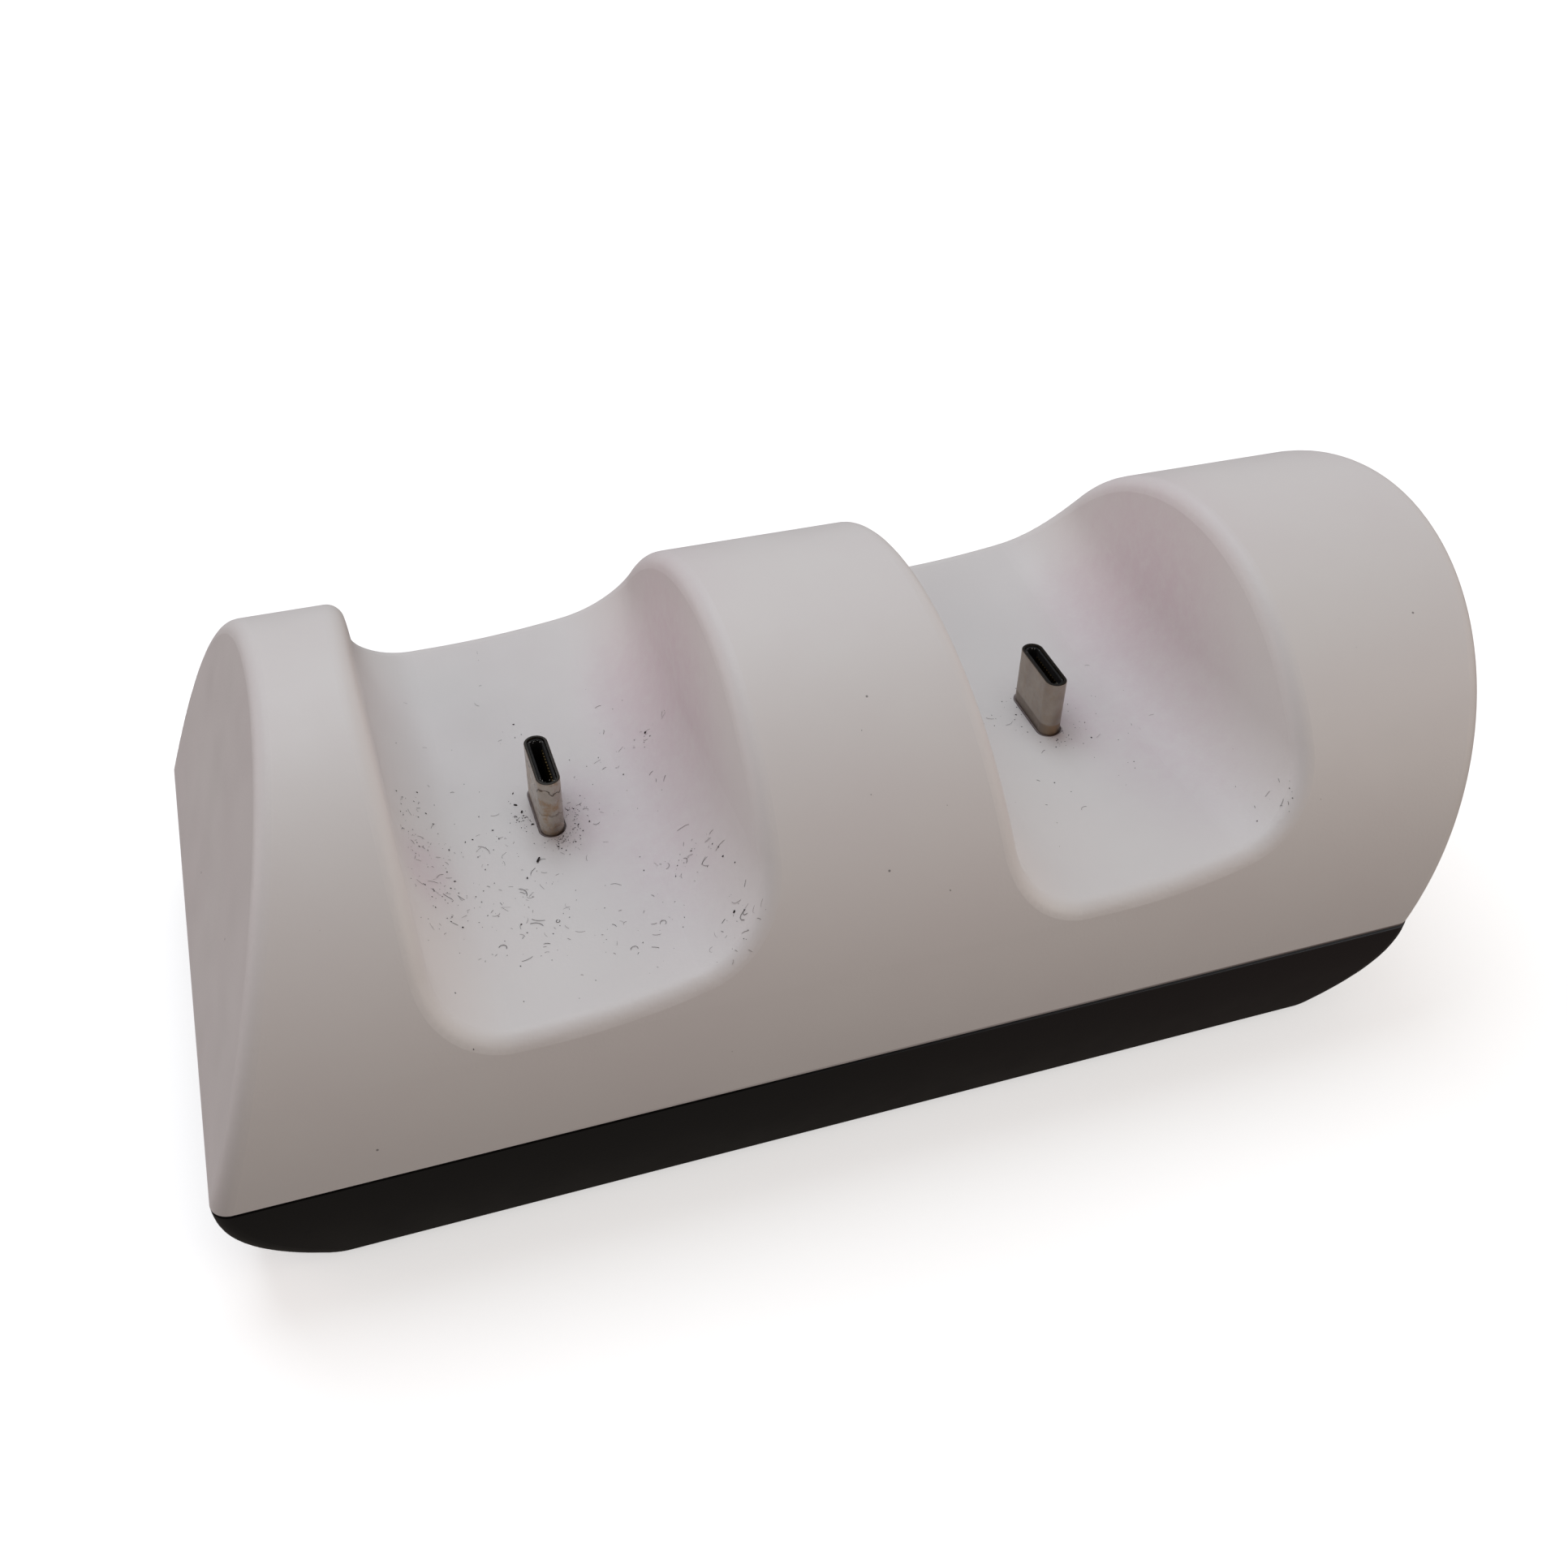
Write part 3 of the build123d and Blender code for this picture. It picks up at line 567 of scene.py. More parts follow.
@dataclass(frozen=True)
class SolderMask(Finish):
    """Epoxy glass under solder mask: green and glossy, its copper tracks showing as light bands.

    Real tracks lie closer together than the bands that are drawn here.
    """

    track: str = "#2F7A48"
    track_mm: float = 2.4
    track_share: float = 0.09

    def coloured(self, surface: Surface) -> Socket:
        """Base colour with lighter bands where copper lies under the mask.

        Args:
            surface: What is dressed.

        Returns:
            The colour socket.
        """
        tree = surface.tree
        settings = {"feature": "DISTANCE_TO_EDGE", "Scale": per_metre(self.track_mm)}
        tracks = add_node(tree, "TexVoronoi", settings, {"Vector": surface.place}).outputs[0]
        settings = {"operation": "LESS_THAN", 1: self.track_share}
        band = add_node(tree, "Math", settings, {0: tracks}).outputs[0]
        return overlaid(tree, super().coloured(surface), linear(self.track), band)


@dataclass(frozen=True)
class ClearPolycarbonate(Finish):
    """Polycarbonate moulded clear with a lightly frosted face, so the lamps behind it glow softly."""

    transmission: float = 0.85

    def dress(self, surface: Surface) -> None:
        """Let light through and keep the fine relief."""
        super().dress(surface)
        surface.shader.inputs["Transmission Weight"].default_value = self.transmission


@dataclass(frozen=True)
class LitPaper(Finish):
    """White coated paper that a lamp below it lifts to nearly pure white, so its shadows stay pale."""

    glow: float = 0.52

    def material(self) -> bpy.types.Material:
        """Build the paper so that its glow is seen but isn't sampled as a lamp.

        Returns:
            The finished material.
        """
        made = super().material()
        made.cycles.emission_sampling = "NONE"
        return made

    def dress(self, surface: Surface) -> None:
        """Give the paper its tooth and its own even white glow."""
        super().dress(surface)
        surface.shader.inputs["Emission Strength"].default_value = self.glow


@dataclass(frozen=True)
class TurnedSteel(Finish):
    """Steel turned and zinc plated: bright and slightly blue, with rings from the tool.

    Rings stand 1.6 mm apart, 2 pi times the size for a radian: coarser than the tool's own.
    """

    ring_radian_mm: float = 0.25
    # Blender's wave pattern runs through this many radians in one unit
    radians_per_unit: float = 20.0
    wobble: float = 1.5

    def grain(self, surface: Surface) -> Socket:
        """Height of the turning marks.

        Args:
            surface: What is dressed.

        Returns:
            The height socket.
        """
        scale = per_metre(self.ring_radian_mm) / self.radians_per_unit
        settings = {"wave_type": "BANDS", "bands_direction": "Z", "Scale": scale, "Distortion": self.wobble}
        marks = add_node(surface.tree, "TexWave", settings, {"Vector": surface.place})
        return marks.outputs["Fac"]


def plug_centre(end: End) -> Vector:
    """The middle of one charging plug's tip, in the dock's frame.

    Args:
        end: Which plug.

    Returns:
        The point in metres.
    """
    low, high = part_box(f"{end.value}_plug_shell")
    return Vector(((low.x + high.x) / 2, (low.y + high.y) / 2, high.z))


PLUG_STAND_MM = 6.9
PLUG_WIDTH_MM = 8.34
PLUG_THICKNESS_MM = 2.5
PLUG_ARC_STEPS = 18
PLUG_TIPS = {end: plug_centre(end) for end in End}
PLUG_FEET_MM = tuple(
    (tip.x / MM, tip.y / MM, tip.z / MM - PLUG_STAND_MM) for tip in PLUG_TIPS.values()
)

# White moulded ABS: bright and nearly matt, so its form reads by soft shading, with painted shade on its
# bottom rim and high on the cradle walls
COVER_ABS = MouldedWhiteAbs(
    "white_abs_moulded", "#E3E1DF", "#DFD9D9", roughness=0.5,
    grain_mm=0.35, grain_depth_mm=0.012, cloud_mm=18.0, plug_feet_mm=PLUG_FEET_MM,
)
# Black moulded ABS: deep satin black that catches a broad dull sheen
TRAY_ABS = MouldedBlackAbs(
    "black_abs_moulded", "#111213", "#161616", roughness=0.42,
    grain_mm=0.25, grain_depth_mm=0.01, cloud_mm=14.0,
)
# Nickel plated steel, drawn: dull grey-brown metal, with wavy stain lines left by use
PLUG_NICKEL = DrawnNickel(
    "nickel_plated_steel_drawn", "#C2BAB0", "#9C938A", roughness=0.34, roughness_spread=0.1,
    metallic=1.0, grain_mm=0.12, grain_depth_mm=0.003, cloud_mm=1.4,
    tip_z_mm=PLUG_TIPS[End.FRONT].z / MM, floor_z_mm=PLUG_FEET_MM[0][2],
    lines=(StainLine(1.2, 0.14, 0.8), StainLine(4.2, 0.12, 0.4)),
)
# The same tube where it's used less: evenly dull, with one darker band along its foot
CLEANER_PLUG_NICKEL = DrawnNickel(
    "nickel_plated_steel_drawn_dulled", "#B3A99F", "#8C8279", roughness=0.38,
    metallic=1.0, grain_mm=0.12, grain_depth_mm=0.003, cloud_mm=1.8,
    tip_z_mm=PLUG_TIPS[End.REAR].z / MM, floor_z_mm=PLUG_FEET_MM[1][2],
    foot_band_mm=1.3, foot_band_share=0.75, tan_share=0.2,
)
# Nickel plated steel, folded: the same metal, still clean inside the socket
SOCKET_NICKEL = Finish(
    "nickel_plated_steel_folded", "#C4BFB6", "#B2ACA2", roughness=0.28, metallic=1.0,
    grain_mm=0.15, grain_depth_mm=0.002, cloud_mm=1.8,
)
# Glass-filled polyamide, moulded: flat black with a dry, slightly fibrous face
INSULATOR_PA = Finish(
    "black_polyamide_moulded", "#060606", "#0B0A0A", roughness=0.85,
    grain_mm=0.12, grain_depth_mm=0.004, cloud_mm=1.2,
)
# Copper alloy, stamped and gold flashed: warm yellow glints on a dark brown-gold, darkened by grime and by
# painted shade of the deep mouths
CONTACT_GOLD = Finish(
    "copper_alloy_gold_flashed", "#7A6540", "#3A3020", roughness=0.42, metallic=1.0,
    grain_mm=0.08, grain_depth_mm=0.001, cloud_mm=0.6,
)
# Polyoxymethylene, moulded: milky off-white, waxy to the eye
HOLDER_POM = Finish(
    "natural_pom_moulded", "#D8D4C8", "#CBC6B6", roughness=0.4, ior=1.48,
    grain_mm=0.3, grain_depth_mm=0.004, cloud_mm=4.0,
)
# Clear polycarbonate, moulded: glassy with a soft frosted face
GUIDE_PC = ClearPolycarbonate(
    "clear_polycarbonate_moulded", "#E9EDEE", "#DDE4E6", roughness=0.22, ior=1.585,
    grain_mm=0.2, grain_depth_mm=0.003, cloud_mm=3.0,
)
# Epoxy resin over phosphor, cast: pale yellow lamp bodies
LAMP_EPOXY = Finish(
    "phosphor_epoxy_cast", "#E6DFA6", "#DAD08A", roughness=0.3, ior=1.52,
    grain_mm=0.1, grain_depth_mm=0.001, cloud_mm=0.8,
)
# Epoxy glass laminate under green solder mask
BOARD_MASK = SolderMask(
    "epoxy_glass_solder_mask", "#1C5C34", "#174D2C", roughness=0.32, ior=1.52,
    grain_mm=0.3, grain_depth_mm=0.003, cloud_mm=6.0,
)
# Epoxy moulding compound: dark grey chip bodies with a fine satin face
CHIP_EPOXY = Finish(
    "black_epoxy_moulded", "#232326", "#1B1B1E", roughness=0.5, ior=1.55,
    grain_mm=0.08, grain_depth_mm=0.002, cloud_mm=1.5,
)
# Aluminium, deep drawn: pale soft metal of the capacitor cans
CAN_ALUMINIUM = Finish(
    "aluminium_deep_drawn", "#C9CACC", "#B9BABD", roughness=0.36, metallic=1.0,
    grain_mm=0.2, grain_depth_mm=0.003, cloud_mm=2.0,
)
# Zinc plated steel, turned: bright bluish screws with tool rings
SCREW_STEEL = TurnedSteel(
    "zinc_plated_steel_turned", "#B6BABD", "#9EA2A6", roughness=0.3, metallic=1.0,
    grain_depth_mm=0.004, cloud_mm=1.5,
)
# Nitrile rubber, pressed: dull black feet with a dusty bloom
FOOT_RUBBER = Finish(
    "nitrile_rubber_pressed", "#1A1A1A", "#2A2928", roughness=0.8, ior=1.52,
    grain_mm=0.35, grain_depth_mm=0.012, cloud_mm=2.5,
)
# Dark textile lint, shed by clothes and pockets: matt fibres that read as thin black hairs
DARK_LINT = Finish(
    "dark_textile_lint_shed", "#161314", "#2E282A", roughness=0.9, ior=1.53,
    grain_mm=0.05, grain_depth_mm=0.004, cloud_mm=0.9,
)
# Grey textile lint, shed by clothes and pockets: the same fibres, faded and hard to see
GREY_LINT = replace(
    DARK_LINT, name="grey_textile_lint_shed", colour="#6A6164", shade="#877D80"
)
# House dust, packed: dull grey-brown felt in the gap round each plug
PACKED_DUST = Finish(
    "house_dust_packed", "#8F8484", "#6C6160", roughness=0.95,
    grain_mm=0.08, grain_depth_mm=0.02, cloud_mm=0.7,
)
# House dust, loose: pale specks against the black mouth of a plug, partly dust and partly painted glints
PALE_DUST_AND_GLINTS = Finish(
    "house_dust_loose_and_painted_glints", "#C9C6C2", "#A19E9B", roughness=0.9,
    grain_mm=0.04, grain_depth_mm=0.002, cloud_mm=0.5,
)
# White paper roll, coated: plain pale studio floor that glows evenly, as if lit through
FLOOR_PAPER = LitPaper(
    "white_paper_coated", "#F4F4F4", "#F1F1F1", roughness=0.85, ior=1.45,
    grain_mm=0.8, grain_depth_mm=0.01, cloud_mm=120.0,
)


def dress_node(node: str, finish: Finish) -> None:
    """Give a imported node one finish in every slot.

    Args:
        node: The node's name.
        finish: The finish it takes.
    """
    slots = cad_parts[node].data.materials
    if not slots:
        slots.append(finish.material())
    for index in range(len(slots)):
        slots[index] = finish.material()


@dataclass
class Housing:
    """The white cover, the black tray and the four feet."""

    cover: str = "top_cover"
    tray: str = "base_tray"

    def build(self) -> None:
        """Dress the cover, the tray and the feet."""
        dress_node(self.cover, COVER_ABS)
        dress_node(self.tray, TRAY_ABS)
        for end in End:
            for side in Side:
                dress_node(f"{end.value}_{side.value}_foot", FOOT_RUBBER)


@dataclass
class ChargingPlug:
    """One upright charging plug with what holds it under the cradle floor."""

    end: End

    def build(self) -> None:
        """Dress the plug's tube, insulator, contacts, holder and riser."""
        finishes = {
            "plug_shell": PLUG_NICKEL if self.end is End.FRONT else CLEANER_PLUG_NICKEL,
            "plug_liner": INSULATOR_PA,
            "plug_contacts": CONTACT_GOLD,
            "plug_holder": HOLDER_POM,
            "riser_board": BOARD_MASK,
            "riser_housing": INSULATOR_PA,
            "charge_chip": CHIP_EPOXY,
        }
        for piece, finish in finishes.items():
            dress_node(f"{self.end.value}_{piece}", finish)


@dataclass
class PowerInlet:
    """The supply socket in the rear end of the tray."""

    stem: str = "power_socket"

    def build(self) -> None:
        """Dress the socket's tube, tongue and contacts."""
        dress_node(f"{self.stem}_shell", SOCKET_NICKEL)
        dress_node(f"{self.stem}_tongue", INSULATOR_PA)
        dress_node(f"{self.stem}_contacts", CONTACT_GOLD)


@dataclass
class Electronics:
    """The main board with its small components, lamps and light guide."""

    board: str = "main_board"

    def build(self) -> None:
        """Dress the board and what stands on it."""
        dress_node(self.board, BOARD_MASK)
        dress_node("filter_capacitors", CAN_ALUMINIUM)
        dress_node("chip_resistors", CHIP_EPOXY)
        dress_node("charge_lamps", LAMP_EPOXY)
        dress_node("light_guide", GUIDE_PC)


@dataclass
class Fasteners:
    """Every screw of the dock."""

    nodes: tuple[str, ...] = ("case_screws", "board_screws", "holder_screws")

    def build(self) -> None:
        """Dress the screws."""
        for node in self.nodes:
            dress_node(node, SCREW_STEEL)


def add_piece(name: str, mesh: Mesh, finishes: tuple[Finish, ...], smooth: bool = False) -> Piece:
    """Turn a mesh into a piece of the scene, and free the mesh.

    Args:
        name: The piece's name.
        mesh: Its mesh.
        finishes: Its finishes, one for each material slot.
        smooth: Whether its faces are shaded smooth.

    Returns:
        The piece.
    """
    data = bpy.data.meshes.new(name)
    mesh.to_mesh(data)
    mesh.free()
    if smooth:
        data.shade_smooth()
    for finish in finishes:
        data.materials.append(finish.material())
    piece = bpy.data.objects.new(name, data)
    bpy.context.scene.collection.objects.link(piece)
    return piece


@dataclass(frozen=True)
class Drift:
    """A loose patch of lint: its middle from the plug, its spread, and how much lies in it."""

    along_mm: float
    across_mm: float
    spread_mm: float
    fibres: int
    crumbs: int


@dataclass(frozen=True)
class Crumb:
    """One crumb that is seen by itself: its place from the plug, its size and its turn."""

    along_mm: float
    across_mm: float
    length_mm: float
    width_mm: float
    turn_deg: float


@dataclass(frozen=True)
class Fibre:
    """One fibre: where it starts from the plug, and how it runs."""

    along_mm: float
    across_mm: float
    length_mm: float
    heading_deg: float
    bend_per_mm: float
    radius_mm: float = 0.02
    wander: float = 0.2
    dark: bool = True


@dataclass
class Lint:
    """Short fibres and crumbs that lie on one part of the cover's ground, as one mesh."""

    name: str
    dice: random.Random
    ground: BVHTree
    origin_mm: Span
    drifts: tuple[Drift, ...]
    large_crumbs: tuple[Crumb, ...] = ()
    large_fibres: tuple[Fibre, ...] = ()
    mesh: Mesh = field(default_factory=bmesh.new)
    fibre_radius_mm: Span = (0.008, 0.019)
    fibre_length_mm: Span = (0.2, 1.3)
    fibre_bend_per_mm: float = 1.1
    fibre_wander: float = 0.35
    fibre_lift_mm: float = 0.06
    fibre_taper: float = 0.6
    fibre_sides: int = 5
    fewest_steps: int = 4
    step_mm: float = 0.1
    dark_share: float = 0.42
    crumb_mm: Span = (0.05, 0.19)
    crumb_shares: tuple[Span, ...] = ((0.8, 1.7), (0.5, 0.9), (0.4, 0.7))
    crumb_knocks: Span = (0.8, 1.15)
    crumb_corners: int = 12
    crumb_rise: float = 0.8
    large_crumb_height: float = 0.7
    drop_from_mm: float = 60.0
    steepest_rise: float = 0.45
    highest_mm: float = 32.0

    def build(self) -> Piece:
        """Scatter the fibres and crumbs and lay them on the ground.

        Returns:
            The lint as one piece.
        """
        for crumb in self.large_crumbs:
            height = crumb.width_mm * self.large_crumb_height
            size = Vector((crumb.length_mm, crumb.width_mm, height))
            spot = self.from_plug(crumb.along_mm, crumb.across_mm)
            self.drop_crumb(spot, size, math.radians(crumb.turn_deg))
        for fibre in self.large_fibres:
            self.lay_fibre(fibre)
        for drift in self.drifts:
            for _ in range(drift.fibres):
                self.lay_fibre(self.any_fibre(drift))
            for _ in range(drift.crumbs):
                spot = self.from_plug(*self.scattered(drift))
                length = self.dice.triangular(*self.crumb_mm, self.crumb_mm[0])
                size = Vector([self.dice.uniform(*share) for share in self.crumb_shares]) * length
                self.drop_crumb(spot, size, self.dice.uniform(0, math.tau))
        lint = add_piece(self.name, self.mesh, (DARK_LINT, GREY_LINT), smooth=True)
        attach(lint, BODY)
        return lint

    def from_plug(self, along_mm: float, across_mm: float) -> Vector:
        """A place seen from above, in the dock's frame."""
        return Vector((self.origin_mm[0] + along_mm, self.origin_mm[1] + across_mm))

    def scattered(self, drift: Drift) -> Span:
        """A random place in a drift, along and across from the plug."""
        along = self.dice.gauss(drift.along_mm, drift.spread_mm)
        return along, self.dice.gauss(drift.across_mm, drift.spread_mm)

    def any_fibre(self, drift: Drift) -> Fibre:
        """A random fibre of a drift.

        Args:
            drift: The patch.

        Returns:
            The fibre.
        """
        along, across = self.scattered(drift)
        return Fibre(
            along,
            across,
            length_mm=self.dice.triangular(*self.fibre_length_mm, self.fibre_length_mm[0]),
            heading_deg=self.dice.uniform(0, 360),
            bend_per_mm=self.dice.gauss(0, self.fibre_bend_per_mm),
            radius_mm=self.dice.uniform(*self.fibre_radius_mm),
            wander=self.fibre_wander,
            dark=self.dice.random() < self.dark_share,
        )

    def landed(self, spot: Vector) -> tuple[Vector, Vector] | None:
        """Where a thing dropped from above comes to rest.

        Args:
            spot: The place seen from above, in millimetres.

        Returns:
            The point and its upward normal, or nothing where the drop misses or slides off.
        """
        above = Vector((spot.x * MM, spot.y * MM, self.drop_from_mm * MM))
        point, normal, _, _ = self.ground.ray_cast(above, Vector((0, 0, -1)))
        if point is None or abs(normal.z) < self.steepest_rise or point.z > self.highest_mm * MM:
            return None
        return point, normal if normal.z > 0 else -normal

    def lay_fibre(self, fibre: Fibre) -> None:
        """Lay one curled fibre as a thin tube, or none where it would leave the ground.

        Args:
            fibre: Where it starts and how it runs.
        """
        spot = self.from_plug(fibre.along_mm, fibre.across_mm)
        heading = math.radians(fibre.heading_deg)
        bend = fibre.bend_per_mm
        radius = fibre.radius_mm * MM
        steps = max(self.fewest_steps, round(fibre.length_mm / self.step_mm))
        stride = fibre.length_mm / steps
        lift = self.dice.uniform(0.0, self.fibre_lift_mm) * MM
        path = []
        for step in range(steps + 1):
            found = self.landed(spot)
            if found is None:
                return
            point, normal = found
            arch = math.sin(math.pi * step / steps) * lift
            path.append((point + normal * (radius + arch), normal))
            bend += self.dice.gauss(0, fibre.wander)
            heading += bend * stride
            spot = spot + Vector((math.cos(heading), math.sin(heading))) * stride
        self.tube(path, radius, 0 if fibre.dark else 1)

    def tube(self, path: list[tuple[Vector, Vector]], radius: float, material: int) -> None:
        """Skin a path with a closed tube.

        Args:
            path: Points with their normals.
            radius: The tube's radius in metres.
            material: Index of the tube's material slot.
        """
        sides = self.fibre_sides
        rings = []
        for index, (point, normal) in enumerate(path):
            before = path[max(index - 1, 0)][0]
            after = path[min(index + 1, len(path) - 1)][0]
            ahead = (after - before).normalized()
            side = ahead.cross(normal).normalized()
            up = side.cross(ahead)
            taper = self.fibre_taper if index in (0, len(path) - 1) else 1.0
            ring = []
            for corner in range(sides):
                turn = math.tau * corner / sides
                offset = (side * math.cos(turn) + up * math.sin(turn)) * radius * taper
                ring.append(self.mesh.verts.new(point + offset))
            rings.append(ring)
        skin = []
        for near, far in zip(rings, rings[1:]):
            for corner in range(sides):
                beside = (corner + 1) % sides
                skin.append((near[corner], near[beside], far[beside], far[corner]))
        skin += [rings[0][::-1], rings[-1]]
        for corners in skin:
            self.mesh.faces.new(corners).material_index = material

    def drop_crumb(self, spot: Vector, size_mm: Vector, turn: float) -> None:
        """Drop one uneven crumb.

        Args:
            spot: Where it lies, in millimetres.
            size_mm: Its length, width and height.
            turn: Its turn about the upright, in radians.
        """
        found = self.landed(spot)
        knocks = [self.dice.uniform(*self.crumb_knocks) for _ in range(self.crumb_corners)]
        if found is None:
            return
        point, normal = found
        half = size_mm * MM / 2
        lean = Vector((0, 0, 1)).rotation_difference(normal).to_matrix().to_4x4()
        rest = Matrix.Translation(point + normal * half.z * self.crumb_rise)
        place = rest @ lean @ Matrix.Rotation(turn, 4, "Z")
        made = bmesh.ops.create_icosphere(self.mesh, subdivisions=1, radius=1.0)["verts"]
        for vert, knock in zip(made, knocks):
            vert.co = place @ Vector([share * reach * knock for share, reach in zip(vert.co, half)])


FRONT_DRIFTS = (
    Drift(1.0, -5.0, 1.0, 10, 70),
    Drift(-2.4, -0.5, 0.9, 4, 44),
    Drift(2.4, -1.5, 1.1, 8, 50),
    Drift(-6.6, -3.8, 1.9, 12, 11),
    Drift(-9.0, -8.5, 3.4, 16, 24),
    Drift(-14.0, 3.0, 1.6, 6, 26),
    Drift(-13.8, -3.0, 1.5, 10, 44),
    Drift(-13.4, -10.0, 2.2, 13, 36),
    Drift(-10.5, -17.5, 3.4, 11, 12),
    Drift(-4.0, -12.5, 2.0, 10, 10),
    Drift(-4.5, -17.5, 3.0, 7, 10),
    Drift(3.5, -23.0, 2.6, 5, 5),
    Drift(7.5, -21.3, 1.0, 6, 5),
    Drift(11.5, -14.2, 1.1, 12, 12),
    Drift(13.2, -15.5, 1.6, 10, 10),
    Drift(13.5, -25.5, 1.2, 12, 10),
    Drift(12.0, -28.0, 1.0, 6, 5),
    Drift(12.4, 5.4, 0.9, 6, 9),
    Drift(6.0, 3.0, 4.5, 12, 16),
    Drift(0.0, -14.0, 10.0, 48, 70),
    Drift(-2.0, 10.0, 8.0, 18, 24),
)
REAR_DRIFTS = (
    Drift(0.4, -4.6, 1.2, 5, 26),
    Drift(-2.4, 0.5, 1.2, 3, 18),
    Drift(4.0, -3.0, 3.5, 5, 16),
    Drift(13.6, -27.0, 1.3, 5, 12),
    Drift(0.0, -9.0, 7.0, 10, 26),
)
OUTSIDE_DRIFTS = (
    Drift(-2.0, -24.0, 4.0, 0, 4),
    Drift(-58.0, -18.0, 3.0, 0, 2),
    Drift(52.0, -20.0, 4.0, 0, 3),
)
# The few crumbs that stand out in the front cradle, most of them round the plug
FRONT_CRUMBS = (
    Crumb(-2.9, 2.0, 0.55, 0.2, -35.0),
    Crumb(-2.5, 0.7, 0.5, 0.22, 70.0),
    Crumb(-1.8, -1.6, 0.4, 0.18, -30.0),
    Crumb(-2.8, 3.9, 0.3, 0.14, 60.0),
    Crumb(-4.0, -9.5, 0.4, 0.16, 80.0),
    Crumb(-5.9, -16.0, 0.2, 0.16, 0.0),
    Crumb(-11.4, -15.0, 0.22, 0.18, 20.0),
    Crumb(12.9, -25.1, 0.4, 0.22, 40.0),
    Crumb(13.9, -18.1, 0.32, 0.16, -20.0),
    Crumb(3.8, -3.6, 0.22, 0.16, 10.0),
    Crumb(12.3, 5.6, 0.36, 0.24, 30.0),
)
# The few fibres that stand out in the front cradle: one thick black one, then loops and bows
FRONT_FIBRES = (
    Fibre(-2.6, -7.55, 0.75, 55.0, 0.1, radius_mm=0.1, wander=0.02),
    Fibre(-2.4, -16.6, 1.1, 150.0, 5.2, radius_mm=0.022, wander=0.1),
    Fibre(-5.1, -16.2, 1.5, 4.0, -0.7, radius_mm=0.022, wander=0.1),
    Fibre(-3.6, -16.2, 1.4, 178.0, -0.5, radius_mm=0.018, wander=0.1),
    Fibre(-8.6, -18.6, 1.3, 70.0, -2.2, radius_mm=0.024),
    Fibre(3.1, -23.7, 1.2, 100.0, -3.2),
    Fibre(-6.9, -4.6, 1.9, 75.0, 0.6, dark=False),
    Fibre(-4.6, -12.1, 1.6, 60.0, 0.9, radius_mm=0.022),
    Fibre(-3.6, -9.2, 1.2, 80.0, -0.8),
    Fibre(12.6, -10.6, 1.3, 120.0, 1.2, radius_mm=0.018, dark=False),
    Fibre(13.3, -27.0, 1.4, 140.0, -1.5, radius_mm=0.022),
    Fibre(11.0, -15.0, 1.0, 20.0, 2.0),
    Fibre(7.0, -21.8, 1.3, 30.0, 2.4, radius_mm=0.018),
    Fibre(13.6, -26.0, 0.9, 200.0, 3.0),
    Fibre(-15.5, -11.2, 1.1, 95.0, 0.6, radius_mm=0.018, dark=False),
)


def plug_outline(grow_mm: float) -> list[Span]:
    """A charging plug's outline, which has full round ends, grown outward.

    Args:
        grow_mm: How far it's grown, or with a minus sign shrunk.

    Returns:
        Points round the outline in millimetres, from the plug's middle.
    """
    radius = PLUG_THICKNESS_MM / 2 + grow_mm
    shift = (PLUG_WIDTH_MM - PLUG_THICKNESS_MM) / 2
    points = []
    for side, start in ((1, 0.0), (-1, math.pi)):
        for step in range(PLUG_ARC_STEPS + 1):
            turn = start + math.pi * step / PLUG_ARC_STEPS
            points.append((math.cos(turn) * radius, side * shift + math.sin(turn) * radius))
    return points


@dataclass
class PackedDust:
    """Dust packed in the gap between a plug and its slot: a thin ring just below the floor."""

    end: End
    inner_mm: float = 0.01
    outer_mm: float = 0.19
    sunk_mm: float = 0.05

    def build(self) -> Piece:
        """Make the ring as a flat band that follows the plug's outline.

        Returns:
            The dust as one piece.
        """
        tip = PLUG_TIPS[self.end] / MM
        height = tip.z - PLUG_STAND_MM - self.sunk_mm
        mesh = bmesh.new()
        rings = []
        for grow in (self.inner_mm, self.outer_mm):
            ring = [Vector((tip.x + x, tip.y + y, height)) * MM for x, y in plug_outline(grow)]
            rings.append([mesh.verts.new(point) for point in ring])
        inner, outer = rings
        for index in range(len(inner)):
            beside = (index + 1) % len(inner)
            mesh.faces.new((inner[index], outer[index], outer[beside], inner[beside]))
        dust = add_piece(f"{self.end.value}_packed_dust", mesh, (PACKED_DUST,))
        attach(dust, BODY)
        return dust


